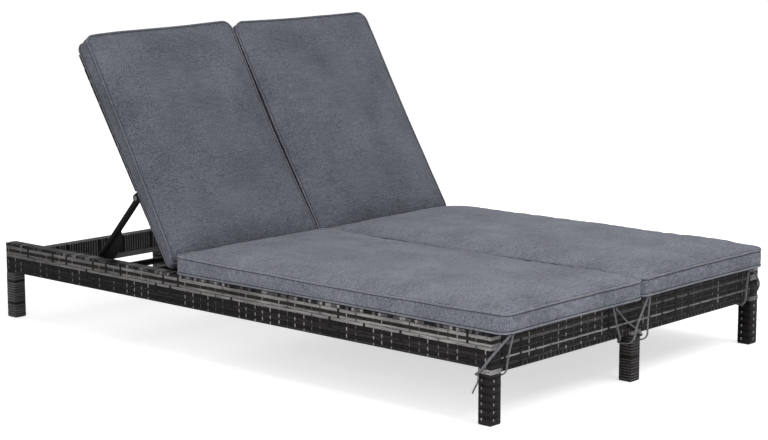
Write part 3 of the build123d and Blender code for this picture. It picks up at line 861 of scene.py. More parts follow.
@dataclass
class WrappedBar:
    """A bar or leg wrapped round by one narrow strand after another."""

    name: str
    node: str
    axis: int
    pitch: float
    tones: Sequence[Tone]
    low: Point
    high: Point
    corner: float = 3.0 * MM
    lay: float = 0.6 * MM
    stitch_every: int = 0
    stitch_tone: Tone = Tone.PALE
    stitch_shift: tuple[float, float] = (0.0, 0.0)
    stitch_half: float = 1.9 * MM
    stitch_out: float = 0.9 * MM
    stitch_in: float = 1.2 * MM
    stitch_reach: float = 0.62
    stitch_flat: float = 0.55
    collar: float = 0.0
    collar_out: float = 0.9 * MM
    odd_share: float = 0.10
    slack: float = 0.25
    gap: float = 0.25 * MM
    thickness: float = 1.1 * MM
    stitch_thickness: float = 0.9 * MM
    core_inset: float = 2.0 * MM
    core_bevel: float = 1.2 * MM
    seed: int = 5

    def __post_init__(self) -> None:
        """Work out the bar's cross axes, its turns and the wrap's size."""
        self.others = [axis for axis in range(3) if axis != self.axis]
        self.length = self.high[self.axis] - self.low[self.axis]
        self.count = max(1, int(round(self.length / self.pitch)))
        self.step = self.length / self.count
        self.halves = [(self.high[axis] - self.low[axis]) / 2 - self.lay for axis in self.others]
        self.centre = [0.0 if axis == self.axis else (self.low[axis] + self.high[axis]) / 2
                       for axis in range(3)]

    def level(self, turn: int) -> float:
        """Give a turn's place along the bar.

        Args:
            turn: The turn's number.

        Returns:
            The place of its middle.
        """
        return self.low[self.axis] + (turn + 0.5) * self.step

    def ring(self, turn: int, tone: Tone, slack: float) -> Strand:
        """Draw one turn of the wrap with eased corners.

        Args:
            turn: Its number.
            tone: Its colour.
            slack: How far inside the wrap's face it lies.

        Returns:
            The closed strand.
        """
        points: list[Point] = []
        half_a, half_b = (half - slack for half in self.halves)
        for sign_a, sign_b in ((1, 1), (-1, 1), (-1, -1), (1, -1)):
            for share in SHARP_TURNS[::sign_a * sign_b]:
                bend = share * math.pi / 2
                points.append((sign_a * (half_a - self.corner * (1 - math.cos(bend))),
                               sign_b * (half_b - self.corner * (1 - math.sin(bend))),
                               self.level(turn)))
        return Strand(points, tone, closed=True)

    def build_parts(self) -> list[bpy.types.Object]:
        """Build the wrap and its core.

        Returns:
            The meshes, not joined.
        """
        rng = random.Random(self.seed)
        matrix = basis(*(AXES[axis] for axis in self.others), AXES[self.axis], tuple(self.centre))
        turns = []
        for index in range(self.count):
            tone = self.tones[index % len(self.tones)]
            if rng.random() < self.odd_share:
                tone = rng.choice((Tone.CHARCOAL, Tone.UMBER))
            slack = rng.uniform(0.0, self.slack) * MM
            if self.length - (index + 0.5) * self.step < self.collar:
                tone = rng.choice((Tone.PALE, Tone.PALE, Tone.GREY))
                slack -= self.collar_out
            turns.append(self.ring(index, tone, slack))
        grain = Grain.ALONG_Y if self.axis == 0 else Grain.ALONG_X
        low, high = ([value if axis == self.axis else value + inset for axis, value in enumerate(end)]
                     for end, inset in ((self.low, self.core_inset), (self.high, -self.core_inset)))
        parts = [Bench.core(low, high, self.core_bevel, SHELF.rattan(Tone.BLACK, grain)),
                 Loom.lay(turns, self.step / 2 - self.gap, self.thickness, matrix, grain)]
        if self.stitch_every:
            parts.append(self.stitches())
        return parts

    def stitches(self) -> bpy.types.Object:
        """Lay the narrow strand down each face that shows as a row of short stitches.

        Returns:
            A mesh with the stitches of all four faces.
        """
        meshes = []
        reach = self.step * self.stitch_reach
        flat = reach * self.stitch_flat
        for face, side in ((0, 1), (0, -1), (1, 1), (1, -1)):
            raised = side * (self.halves[face] + self.stitch_out)
            sunk = side * (self.halves[face] - self.stitch_in)
            ends = ((-reach, sunk), (-flat, raised), (flat, raised), (reach, sunk))
            strands = [Strand([(self.level(turn) + along, out, 0.0) for along, out in ends],
                              self.stitch_tone)
                       for turn in range(1, self.count - 1, self.stitch_every)]
            normal, across = self.others[face], self.others[1 - face]
            moved = list(self.centre)
            moved[across] += self.stitch_shift[face]
            matrix = basis(AXES[self.axis], AXES[normal], AXES[across], tuple(moved))
            meshes.append(Loom.lay(strands, self.stitch_half, self.stitch_thickness, matrix,
                                   Grain.ALONG_Z))
        return Bench.join(meshes, "stitches")

    def build(self, body: str = "base") -> bpy.types.Object:
        """Build the wrap as the piece that stands for its node.

        Args:
            body: The body that it rides on.

        Returns:
            The finished piece.
        """
        return Loom.finish(self.build_parts(), self.name, "rattan", body, [self.node])


@dataclass
class FrameCovers:
    """All the woven and wrapped covers of the fixed frame."""

    leg_pitch: float = 3.7 * MM
    dotted_pitch: float = 6.4 * MM
    bar_pitch: float = 4.0 * MM
    head_pitch: float = 4.8 * MM
    collar: float = 10.0 * MM
    leg_lay: float = -0.8 * MM
    bulge: float = 2.5 * MM
    trim_end: float = 2.0 * MM
    trim_out: float = 0.5 * MM
    trim_level: float = 9.0 * MM
    trim_half: float = 8.0 * MM
    trim_thickness: float = 1.2 * MM

    def build(self) -> list[bpy.types.Object]:
        """Build the rails, the apron, the lower bars and the legs.

        Returns:
            The pieces.
        """
        pieces = []
        for index, side in enumerate(("left", "right")):
            pieces.append(WovenBeam(f"side_rail_weave_{side}", f"side_skin_{side}", True, SIDE_ROWS,
                                    True, seed=11 + index).build())
        pieces.append(WovenBeam("foot_apron_weave", "foot_apron_skin", False, FOOT_ROWS, False,
                                stake_odds=(0.26, 0.34, 0.40), seed=23).build())
        pieces.append(self.head_rail())
        pieces.append(self.lower_bars())
        pieces.extend(self.legs())
        return pieces

    def head_rail(self) -> bpy.types.Object:
        """Build the head rail's upright wrap and the flat strand along its lower edge.

        Returns:
            The piece.
        """
        low, high = corners("head_rail_skin")
        wrap = WrappedBar("head_rail_wrap", "head_rail_skin", 0, self.head_pitch,
                          (Tone.PALE, Tone.BLACK), low, high, odd_share=0.16, seed=31)
        parts = wrap.build_parts()
        reach = high[0] - self.trim_end
        face = (high[1] - low[1]) / 2 + self.trim_out
        level = low[2] + self.trim_level
        strands = [Strand([(end, side * face, level) for end in (-reach, reach)], Tone.PALE)
                   for side in (-1, 1)]
        middle = Matrix.Translation((0.0, (low[1] + high[1]) / 2, 0.0))
        parts.append(Loom.lay(strands, self.trim_half, self.trim_thickness, middle, Grain.ALONG_X))
        return Loom.finish(parts, wrap.name, "rattan", "base", [wrap.node])

    def lower_bars(self) -> bpy.types.Object:
        """Build the two wrapped bars under the apron.

        Returns:
            The piece.
        """
        low, high = corners("foot_lower_bars")
        sleeve_low, sleeve_high = corners("leg_sleeve_middle_foot")
        parts = []
        for index, (start, end) in enumerate(((low[0], sleeve_low[0]), (sleeve_high[0], high[0]))):
            bar = WrappedBar("foot_bar_wrap", "foot_lower_bars", 0, self.bar_pitch,
                             (Tone.GREY, Tone.BLACK, Tone.BLACK, Tone.CHARCOAL),
                             (start, low[1], low[2] - self.bulge), (end, high[1], high[2]),
                             seed=41 + index)
            parts.extend(bar.build_parts())
        return Loom.finish(parts, "foot_bar_wrap", "rattan", "base", ["foot_lower_bars"])

    def legs(self) -> list[bpy.types.Object]:
        """Build the wraps of the six legs.

        Returns:
            The pieces.
        """
        shifts = {"left": (8.0 * MM, -9.0 * MM), "right": (6.0 * MM, 0.0)}
        pieces = []
        for index, end in enumerate(("foot", "head")):
            for place in ("left", "middle", "right"):
                pitch, seed, stitches = self.leg_pitch, 61 + index, {}
                tones = (Tone.PALE, Tone.GREY)
                if end == "foot":
                    tones = (Tone.GREY, Tone.CHARCOAL, Tone.GREY, Tone.UMBER)
                if end == "foot" and place in shifts:
                    pitch, seed = self.dotted_pitch, 51 + index
                    tones = (Tone.CHARCOAL, Tone.CHARCOAL, Tone.BLACK)
                    stitches = {"stitch_every": 3, "stitch_shift": shifts[place]}
                node = f"leg_sleeve_{place}_{end}"
                wrap = WrappedBar(f"leg_wrap_{place}_{end}", node, 2, pitch, tones, *corners(node),
                                  lay=self.leg_lay, collar=self.collar if end == "foot" else 0.0,
                                  seed=seed, **stitches)
                pieces.append(wrap.build())
        return pieces


@dataclass
class WovenDeck:
    """A flat panel of strands woven both ways."""

    name: str
    node: str
    body: str
    pitch: float = 20.0 * MM
    thickness: float = 1.1 * MM
    end_gap: float = 0.2 * MM
    side_gap: float = 0.5 * MM
    wave: float = 0.62 * MM
    top_share: float = 0.2
    seed: int = 71

    def strands(self, count: int, crossings: int, step: float, cross_step: float,
                half: float, cross_half: float, start: int, rng: random.Random) -> list[Strand]:
        """Draw the parallel strands of one way.

        Args:
            count: How many strands there are.
            crossings: How many strands each one crosses.
            step: Their spacing.
            cross_step: The spacing of those crossed.
            half: Half the panel's size across the strands.
            cross_half: Half its size along them.
            start: 0 or 1, for the strand that starts on top.
            rng: The source of small differences.

        Returns:
            The strands, drawn along X with their height in Y and their level across.
        """
        drawn = []
        for index in range(count):
            level = -half + (index + 0.5) * step
            points: list[Point] = [(-cross_half + self.end_gap, 0.0, level)]
            for crossing in range(crossings):
                over = ((crossing // 2) + index + start) % 2 == 0
                place = -cross_half + (crossing + 0.5) * cross_step
                points.extend((place + turn * self.top_share * cross_step,
                               self.wave if over else -self.wave, level) for turn in (-1, 1))
            points.append((cross_half - self.end_gap, 0.0, level))
            tone = rng.choices((Tone.BLACK, Tone.CHARCOAL, Tone.UMBER, Tone.GREY),
                               (0.34, 0.36, 0.16, 0.14))[0]
            drawn.append(Strand(points, tone))
        return drawn

    def build(self, low: Point, high: Point, matrix: Matrix) -> bpy.types.Object:
        """Build the panel lying flat, and place it.

        Args:
            low: Its lowest corner as it lies flat.
            high: Its highest corner.
            matrix: The turn that raises it.

        Returns:
            The finished piece.
        """
        rng = random.Random(self.seed)
        half_x, half_y = (high[0] - low[0]) / 2, (high[1] - low[1]) / 2
        count_x, count_y = (int(round(2 * half / self.pitch)) for half in (half_x, half_y))
        step_x, step_y = 2 * half_x / count_x, 2 * half_y / count_y
        middle = tuple((a + b) / 2 for a, b in zip(low, high))
        run_x, run_y = basis(X, Z, Y, middle), basis(Y, Z, X, middle)
        across = self.strands(count_y, count_x, step_y, step_x, half_y, half_x, 0, rng)
        along = self.strands(count_x, count_y, step_x, step_y, half_x, half_y, 1, rng)
        parts = [Loom.lay(strands, step / 2 - self.side_gap, self.thickness, matrix @ run, grain)
                 for strands, step, run, grain in ((across, step_y, run_x, Grain.ALONG_X),
                                                   (along, step_x, run_y, Grain.ALONG_Y))]
        return Loom.finish(parts, self.name, "rattan_deck", self.body, [self.node])


@dataclass
class Backrest:
    """The raised backrest's place and its woven covers."""

    angle: float = BACK_LEAN
    hinge_y: float = 250.0 * MM
    hinge_z: float = 211.0 * MM
    half_width: float = 553.0 * MM
    deck_low: float = -6.0 * MM
    deck_high: float = 710.0 * MM
    tube_half: float = 12.5 * MM
    deck_thickness: float = 3.5 * MM
    wrap_outer: float = 557.0 * MM
    tube_inner: float = 526.0 * MM
    rear_wrap: float = 2.0 * MM
    wrap_pitch: float = 9.0 * MM
    wrap_tones: tuple[Tone, ...] = (Tone.BLACK, Tone.BLACK, Tone.CHARCOAL, Tone.BLACK, Tone.GREY,
                                    Tone.BLACK, Tone.BLACK, Tone.PALE)
    wrap_spans: tuple[tuple[float, float], ...] = ((30 * MM, 240 * MM), (270 * MM, 664 * MM))
    edge_span: tuple[float, float] = (664 * MM, 709.6 * MM)

    @property
    def raised(self) -> Matrix:
        """The turn from lying flat, with the hinge as the local origin, to the photographed place.

        Returns:
            The matrix.
        """
        return (Matrix.Translation((0.0, self.hinge_y, self.hinge_z))
                @ Matrix.Rotation(self.angle, 4, "X"))

    def build(self) -> list[bpy.types.Object]:
        """Build the panel and the wraps of its side tubes.

        Returns:
            The pieces.
        """
        deck = WovenDeck("back_panel_weave", "back_deck", "back", seed=73)
        pieces = [deck.build((-self.half_width, self.deck_low, self.tube_half),
                             (self.half_width, self.deck_high, self.tube_half + self.deck_thickness),
                             self.raised)]
        runs = [(*span, self.rear_wrap) for span in self.wrap_spans] + [(*self.edge_span, 0.0)]
        for side, name in ((-1, "left"), (1, "right")):
            parts = []
            left, right = sorted((side * self.tube_inner, side * self.wrap_outer))
            for index, (start, end, below) in enumerate(runs):
                bar = WrappedBar("edge_wrap", f"back_edge_wrap_{name}", 1, self.wrap_pitch,
                                 self.wrap_tones, (left, start, -self.tube_half - below),
                                 (right, end, self.tube_half), seed=81 + index)
                parts.extend(bar.build_parts())
            for part in parts:
                part.data.transform(self.raised)
            pieces.append(Loom.finish(parts, f"back_edge_binding_{name}", "rattan", "back",
                                      [f"back_edge_wrap_{name}"]))
        return pieces


@dataclass(frozen=True)
class Pull:
    """How far a cushion's side is drawn in at its near end, its middle and its far end."""

    near: float = 0.0
    middle: float = 0.0
    far: float = 0.0
    power: float = 1.0

    def at(self, share: float) -> float:
        """Give the draw at one place.

        Args:
            share: The place along the side, from -1 to 1.

        Returns:
            The draw towards the cushion's middle.
        """
        near = max(0.0, -share) ** self.power
        far = max(0.0, share) ** self.power
        return self.middle + (self.near - self.middle) * near + (self.far - self.middle) * far


PRESSED_CLOTH: dict[str, object] = {
    "quality": 5, "mass": 0.3, "use_pressure": True, "uniform_pressure_force": 4.0,
    "vertex_group_mass": "held", "pin_stiffness": 1.0, "tension_stiffness": 12.0,
    "compression_stiffness": 12.0, "bending_stiffness": 0.6, "shrink_min": -0.014}


@dataclass
class Cushion:
    """A boxed cushion with a crown, piped seams and sides that draw in."""

    name: str
    node: str
    body: str
    slot: str
    cloth: ClothFinish
    piped: ClothFinish
    stitched_and_seam_shade: ClothFinish
    width: float
    length: float
    place: Matrix
    crown: float = 14.0 * MM
    edge: float = 50.0 * MM
    corners: tuple[float, float, float, float] = (16.0 * MM, 16.0 * MM, 30.0 * MM, 30.0 * MM)
    draw_in: float = 4.0 * MM
    skew: float = 0.0
    top_shift: float = 0.0
    tip: float = 0.0
    left_low: Pull = Pull()
    left_high: Pull = Pull()
    right_pull: Pull = Pull()
    sag: float = 0.0
    droop: float = 0.0
    corner_drop: float = 0.0
    straps: tuple[float, ...] = ()
    bulge: float = 2.0 * MM
    wide_wave: float = 2.0 * MM
    fine_wave: float = 0.5 * MM
    cell: float = 10.5 * MM
    layers: int = 5
    hair: float = 0.1 * MM
    crease: float = 0.7
    firm_share: float = 0.85
    firm_reach: float = 22.0 * MM
    frames: int = 20
    cap: float = 9.0 * MM
    piping: float = 2.9 * MM
    thread_and_seam_shade: float = 0.9 * MM
    thread_and_shade_gap: float = 1.6 * MM
    seam_points: int = 96
    strap_radius: float = 2.6 * MM
    strap_sunk: float = 1.1 * MM
    strap_end: float = 3.0 * MM
    strap_steps: int = 8
    fill: float = 0.75
    seed: float = 0.0

    def square_line(self, height: float, inset: float) -> list[Vector]:
        """Draw the square outline of the blank as points round it.

        Args:
            height: The height above the underside.
            inset: How far inside the edge the line runs.

        Returns:
            The points.
        """
        half_x, half_y = self.width / 2 - inset, self.length / 2 - inset
        shares = [2 * index / self.seam_points - 1 for index in range(self.seam_points)]
        places = ([(1, share) for share in shares] + [(-share, 1) for share in shares]
                  + [(-1, -share) for share in shares] + [(share, -1) for share in shares])
        return [Vector((x * half_x, y * half_y, height)) for x, y in places]

    def round_off(self, point: Vector) -> Vector:
        """Move a point of the square blank so that the corners become round.

        Args:
            point: A point of the square blank.

        Returns:
            The point in the blank with round corners.
        """
        corner = self.corners[(0 if point.x >= 0 else 1) if point.y >= 0 else (3 if point.x >= 0 else 2)]
        over_x = abs(point.x) - (self.width / 2 - corner)
        over_y = abs(point.y) - (self.length / 2 - corner)
        if over_x <= 0 or over_y <= 0:
            return point
        share_x, share_y = min(1.0, over_x / corner), min(1.0, over_y / corner)
        moved_x = share_x * math.sqrt(1 - share_y * share_y / 2) * corner
        moved_y = share_y * math.sqrt(1 - share_x * share_x / 2) * corner
        return Vector((math.copysign(self.width / 2 - corner + moved_x, point.x),
                       math.copysign(self.length / 2 - corner + moved_y, point.y), point.z))

    def shape(self, square: Vector) -> Vector:
        """Round the corners, raise the crown, draw the sides in and let the seams sag.

        Args:
            square: A point of the square blank.

        Returns:
            Where it lies on the real cushion.
        """
        point = self.round_off(square)
        share_x = max(-1.0, min(1.0, point.x / (self.width / 2)))
        share_y = max(-1.0, min(1.0, point.y / (self.length / 2)))
        up = max(0.0, min(1.0, point.z / self.edge))
        x = point.x - self.draw_in * share_x * (1 - share_y * share_y)
        y = point.y - self.draw_in * share_y * (1 - share_x * share_x)
        x += self.bulge * share_x ** 9 * math.sin(math.pi * up)
        y += self.bulge * share_y ** 15 * math.sin(math.pi * up)
        y += (self.top_shift + self.skew * share_x) * max(0.0, share_y)
        y -= self.tip * (max(0.0, -share_x - 0.4) / 0.6) ** 2 * max(0.0, share_y) ** 8
        x += max(0.0, -share_x) ** 3 * ((1 - up) * self.left_low.at(share_y)
                                        + up * self.left_high.at(share_y))
        x -= max(0.0, share_x) ** 3 * self.right_pull.at(share_y)
        over_x = max(0.0, 1 - abs(share_x) ** 3.4)
        over_y = max(0.0, 1 - abs(share_y) ** 6.0)
        z = point.z + self.crown * up * over_x ** 0.7 * over_y ** 0.7
        z -= self.sag * up * (1 - share_y * share_y) * abs(share_x) ** 6
        z -= self.droop * up * (max(0.0, -share_y - 0.92) / 0.08) ** 1.6
        z -= self.corner_drop * up * max(0.0, share_x) ** 10 * max(0.0, -share_y) ** 18
        wide = noise.noise(Vector((point.x * 5.0, point.y * 5.0, self.seed)))
        fine = noise.noise(Vector((point.x * 17.0, point.y * 17.0, self.seed + 5.0)))
        z += (self.wide_wave * wide + self.fine_wave * fine) * up
        return Vector((x, y, z))

    def blank(self) -> bpy.types.Object:
        """Shape the square blank from a grid by hand operations.

        Returns:
            The blank, with its underside at height 0.
        """
        Bench.clear()
        bpy.ops.mesh.primitive_grid_add(x_subdivisions=int(self.width / self.cell),
                                        y_subdivisions=int(self.length / self.cell), size=1.0)
        blank = bpy.context.object
        blank.scale = (self.width, self.length, 1.0)
        Bench.settle(blank)
        Bench.edit(blank)
        for _ in range(self.layers):
            bpy.ops.mesh.extrude_region_move(
                TRANSFORM_OT_translate={"value": (0.0, 0.0, self.edge / self.layers)})
        bpy.ops.object.mode_set(mode="OBJECT")
        Bench.face_out(blank)
        crease = blank.data.attributes.new("crease_edge", "FLOAT", "EDGE")
        half_x, half_y = self.width / 2 - self.hair, self.length / 2 - self.hair
        spots = [vertex.co for vertex in blank.data.vertices]
        rim = [(abs(spot.x) > half_x or abs(spot.y) > half_y)
               and (spot.z < self.hair or spot.z > self.edge - self.hair) for spot in spots]
        for edge in blank.data.edges:
            first, second = edge.vertices
            level = abs(spots[first].z - spots[second].z) < self.hair
            crease.data[edge.index].value = self.crease if rim[first] and rim[second] and level else 0.0
        group = blank.vertex_groups.new(name="held")
        for index, spot in enumerate(spots):
            to_rim = min(half_x - abs(spot.x), half_y - abs(spot.y))
            gap = max(0.0, to_rim) + min(spot.z, self.edge - spot.z)
            held = spot.z < 1 * MM or rim[index]
            weight = 1.0 if held else max(0.0, self.firm_share - gap / self.firm_reach)
            if weight > 0.0:
                group.add([index], weight, "REPLACE")
        for vertex in blank.data.vertices:
            vertex.co = self.shape(vertex.co)
        return blank

    def inflate(self, pad: bpy.types.Object) -> None:
        """Let cloth under pressure fill out between the held seams.

        Args:
            pad: The shaped cushion, whose mesh is replaced.
        """
        before = [vertex.co.copy() for vertex in pad.data.vertices]
        Bench.hold(pad)
        cloth = pad.modifiers.new("cloth", "CLOTH")
        for key, value in PRESSED_CLOTH.items():
            setattr(cloth.settings, key, value)
        cloth.settings.effector_weights.gravity = 0.0
        cloth.point_cache.frame_start = 1
        cloth.point_cache.frame_end = self.frames
        scene = bpy.context.scene
        for step in range(1, self.frames + 1):
            scene.frame_set(step)
        Bench.apply(pad)
        scene.frame_set(1)
        for vertex, start in zip(pad.data.vertices, before):
            move = vertex.co - start
            if move.length > self.cap:
                vertex.co = start + move * (self.cap / move.length)
            vertex.co.z = max(vertex.co.z, 0.0)

    def build(self) -> list[bpy.types.Object]:
        """Build the cushion and its piping.

        Returns:
            The pad and the piping.
        """
        pad = self.blank()
        self.inflate(pad)
        refine = pad.modifiers.new("refine", "SUBSURF")
        refine.levels = refine.render_levels = 1
        Bench.apply(pad)
        Bench.smooth(pad, 50.0)
        pad.data.materials.append(SHELF.get(self.cloth))
        seams = self.sew(pad)
        for piece in (pad, seams):
            piece.data.transform(self.place)
            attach(piece, self.body)
        pad.name = self.name
        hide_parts(self.node)
        LOG.info("%s: %d faces", self.name, len(pad.data.polygons))
        return [pad, seams]

    def sew(self, pad: bpy.types.Object) -> bpy.types.Object:
        """Sew the piping along both seams, with a sunk dark line on each side of it, partly thread and
        partly painted shade of the seam's groove.

        Args:
            pad: The finished pad, in its own lay.

        Returns:
            The piping and threads as one mesh.
        """
        gap = self.piping + self.thread_and_shade_gap
        piping, thread_and_seam_shade = (self.piping, self.piped), (self.thread_and_seam_shade, self.stitched_and_seam_shade)
        # The dark lines beside the piping stand partly for stitching and partly for painted shade in the
        # seam.
        lines = ((self.piping, 0.0, piping), (self.edge, 0.0, piping), (self.piping + gap, 0.0, thread_and_seam_shade),
                 (self.edge - gap, 0.0, thread_and_seam_shade), (self.edge, gap, thread_and_seam_shade))
        meshes = [self.strap(pad, place) for place in self.straps]
        for height, inset, (radius, finish) in lines:
            curve = Bench.curve("seam", [SHELF.get(finish)], bevel_depth=radius,
                                bevel_resolution=1 if radius == self.piping else 0)
            line = [self.on_cloth(pad, point, 0.25 * radius)
                    for point in self.square_line(height, inset)]
            for place in line:
                place.z = max(place.z, radius)
            Bench.draw(curve, line, closed=True)
            meshes.append(Bench.mesh(curve))
        seams = Bench.join(meshes, f"{self.name}_piping")
        Bench.hold(seams)
        bpy.ops.object.shade_smooth()
        return seams

    def on_cloth(self, pad: bpy.types.Object, square: Vector, lift: float) -> Vector:
        """Find where a point of the square blank lies on the finished pad.

        Args:
            pad: The finished pad, in its own lay.
            square: The point.
            lift: How far above the cloth the place is.

        Returns:
            The place.
        """
        point = self.shape(square)
        found, near, normal, _ = pad.closest_point_on_mesh(point)
        return near + normal * lift if found else point

    def strap(self, pad: bpy.types.Object, place: float) -> bpy.types.Object:
        """Sew the upper end of a tie down the cushion's near side, over a seam's height.

        Args:
            pad: The finished pad, in its own lay.
            place: Where the strap lies across the cushion, from its middle.

        Returns:
            The strap.
        """
        curve = Bench.curve("strap", [SHELF.get(self.piped)], bevel_depth=self.strap_radius,
                            bevel_resolution=1, use_fill_caps=True)
        rise = self.edge - 2 * self.strap_end
        heights = [self.strap_end + rise * index / self.strap_steps
                   for index in range(self.strap_steps + 1)]
        Bench.draw(curve, [self.on_cloth(pad, Vector((place, -self.length / 2, height)), -self.strap_sunk)
                           for height in heights])
        return Bench.mesh(curve)


@dataclass
class Cushions:
    """The four cushions in their places."""

    back: Backrest
    rest_start: float = 17.0 * MM
    rest_end: float = 745.0 * MM
    rest_lift: float = 0.4 * MM
    rest_middle: float = 300.5 * MM
    rest_width: float = 592.0 * MM

    def seat(self, side: int) -> Cushion:
        """Describe one seat cushion.

        Args:
            side: -1 for the left one, 1 for the right one.

        Returns:
            The cushion.
        """
        name = "left" if side < 0 else "right"
        node = f"seat_cushion_{name}"
        low, high = (Vector(corner) for corner in corners(node))
        place = Matrix.Translation(((low.x + high.x) / 2, (low.y + high.y) / 2, low.z))
        pad = Cushion(f"seat_pad_{name}", node, "base", "seat_fabric", SEAT_CLOTH, SEAT_PIPING,
                      SEAT_THREAD_AND_SEAM_SHADE, high.x - low.x, high.y - low.y, place, droop=2.0 * MM,
                      seed=4.0 + side)
        if side < 0:
            pad.sag = 6.0 * MM
            pad.right_pull = Pull(near=14.0 * MM, power=7.0)
            pad.corners = (16.0 * MM, 16.0 * MM, 30.0 * MM, 42.0 * MM)
            pad.straps = (152.0 * MM,)
        else:
            pad.sag = 1.0 * MM
            pad.crown = 18.0 * MM
            pad.left_low = pad.left_high = Pull(near=-14.0 * MM, power=7.0)
            pad.corners = (16.0 * MM, 16.0 * MM, 26.0 * MM, 44.0 * MM)
            pad.corner_drop = 6.0 * MM
            pad.straps = (-270.0 * MM, 222.0 * MM)
        return pad

    def rest(self, side: int) -> Cushion:
        """Describe one back cushion.

        Args:
            side: -1 for the left one, 1 for the right one.

        Returns:
            The cushion.
        """
        name = "left" if side < 0 else "right"
        lift = self.back.tube_half + self.back.deck_thickness + self.rest_lift
        centre = (side * self.rest_middle, (self.rest_start + self.rest_end) / 2, lift)
        place = self.back.raised @ Matrix.Translation(centre)
        pad = Cushion(f"back_pad_{name}", f"back_cushion_{name}", "back", "back_fabric", SHADED_BACK_CLOTH,
                      SHADED_BACK_PIPING, SHADED_BACK_THREAD_AND_SEAM_SHADE, self.rest_width, self.rest_end - self.rest_start, place,
                      crown=15.0 * MM, droop=15.0 * MM, seed=9.0 + side)
        if side < 0:
            pad.left_low = Pull(18.0 * MM, 18.0 * MM, 23.0 * MM)
            pad.left_high = Pull(0.0, 9.0 * MM, 19.0 * MM)
            pad.right_pull = Pull(14.0 * MM, 15.0 * MM, 0.0)
            pad.corners = (34.0 * MM, 28.0 * MM, 14.0 * MM, 14.0 * MM)
            pad.skew, pad.top_shift, pad.tip = 8.0 * MM, -2.6 * MM, 8.0 * MM
        else:
            pad.left_low = pad.left_high = Pull(-14.0 * MM, -15.0 * MM, 0.0)
            pad.right_pull = Pull(23.0 * MM, 8.0 * MM, -7.0 * MM)
            pad.corners = (34.0 * MM, 44.0 * MM, 14.0 * MM, 14.0 * MM)
            pad.skew, pad.top_shift = 4.0 * MM, 3.4 * MM
        return pad

    def build(self) -> list[bpy.types.Object]:
        """Build all four cushions.

        Returns:
            The pieces.
        """
        pieces = []
        for side in (-1, 1):
            pieces.extend(self.seat(side).build())
            pieces.extend(self.rest(side).build())
        return pieces


@dataclass
class TieTapes:
    """The flat tapes that tie the cushions to the legs at the foot."""

    width: float = 7.0 * MM
    thickness: float = 3.4 * MM
    routes: dict[str, tuple[Point, ...]] = field(default_factory=lambda: {
        "tie_left_corner": (
            (-0.566, -0.953, 0.2242), (-0.607, -0.928, 0.176), (-0.608, -0.898, 0.136),
            (-0.606, -0.872, 0.119), (-0.554, -0.872, 0.117), (-0.552, -0.929, 0.117),
            (-0.551, -0.932, 0.162), (-0.556, -0.953, 0.2242)),
        "tie_left_tail": (
            (-0.6074, -0.8882, 0.1249), (-0.609, -0.890, 0.1095), (-0.610, -0.882, 0.0945),
            (-0.609, -0.872, 0.0775)),
        "tie_left_middle": (
            (-0.149, -0.953, 0.2242), (-0.103, -0.932, 0.164), (-0.075, -0.928, 0.121),
            (-0.025, -0.874, 0.112), (0.027, -0.874, 0.112), (0.028, -0.927, 0.118),
            (-0.005, -0.928, 0.140), (-0.052, -0.928, 0.168), (-0.097, -0.940, 0.196),
            (-0.140, -0.953, 0.2242)),
        "tie_right_middle": (
            (0.025, -0.939, 0.2242), (0.001, -0.938, 0.188), (-0.029, -0.940, 0.148),
            (-0.032, -0.935, 0.106), (-0.029, -0.873, 0.102), (0.030, -0.873, 0.102),
            (0.032, -0.935, 0.106), (0.029, -0.936, 0.152), (0.034, -0.939, 0.2242)),
        "tie_right_corner": (
            (0.521, -0.938, 0.2242), (0.523, -0.929, 0.178), (0.524, -0.928, 0.130),
            (0.548, -0.898, 0.115), (0.555, -0.872, 0.114), (0.606, -0.872, 0.115),
            (0.607, -0.904, 0.134), (0.606, -0.928, 0.178), (0.535, -0.938, 0.2242)),
    })

    def build(self) -> list[bpy.types.Object]:
        """Build every tape as a flat curve on its route.

        Returns:
            The tapes.
        """
        tapes = []
        for name, route in self.routes.items():
            curve = Bench.curve(name, [SHELF.get(TAPE_CLOTH)], twist_mode="MINIMUM", resolution_u=10,
                                extrude=self.width / 2 - self.thickness / 2,
                                bevel_depth=self.thickness / 2, bevel_resolution=1, use_fill_caps=True)
            spline = Bench.draw(curve, route, kind="NURBS")
            spline.order_u = 3
            spline.use_endpoint_u = True
            tape = bpy.data.objects.new(name + "_tape", curve)
            bpy.context.collection.objects.link(tape)
            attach(tape, "base")
            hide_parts(name)
            self.declare(tape)
            tapes.append(tape)
            LOG.info("%s: %d route points", name, len(route))
        return tapes

    def declare(self, tape: bpy.types.Object) -> None:
        """Make a mesh of the tape's bare line, without its width, which nothing uses.

        Args:
            tape: The tape.
        """
        plain = tape.data.copy()
        plain.bevel_depth = 0.0
        plain.extrude = 0.0
        probe = bpy.data.objects.new("probe", plain)
        mesh = bpy.data.meshes.new_from_object(probe)
        bpy.data.objects.remove(probe)


class Steelwork:
    """The CAD nodes that stay as they are, with their finishes."""

    zinc: tuple[str, ...] = ("rack_screws", "pivot_bolts", "bracket_bolts", "prop_pins")
    nylon: tuple[str, ...] = ("foot_glides", "foot_bar_plugs", "pivot_bushes", "pivot_spacers")
    hidden: tuple[str, ...] = ("side_skin", "foot_apron_skin", "head_rail_skin", "foot_lower_bars",
                               "leg_sleeve", "seat_deck", "back_deck", "back_edge_wrap",
                               "seat_cushion", "back_cushion", "tie_")

    def dress(self) -> int:
        """Give each remaining CAD node its finish.

        Returns:
            How many nodes were dressed.
        """
        count = 0
        for name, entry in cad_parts.items():
            obj = entry if isinstance(entry, bpy.types.Object) else bpy.data.objects.get(name)
            if obj is None or name.startswith(self.hidden):
                continue
            finish = ZINC if name in self.zinc else NYLON if name in self.nylon else STEEL_WITH_PAINTED_SHADE
            material = SHELF.get(finish)
            if not obj.material_slots:
                obj.data.materials.append(material)
            for slot in obj.material_slots:
                slot.material = material
            count += 1
        return count


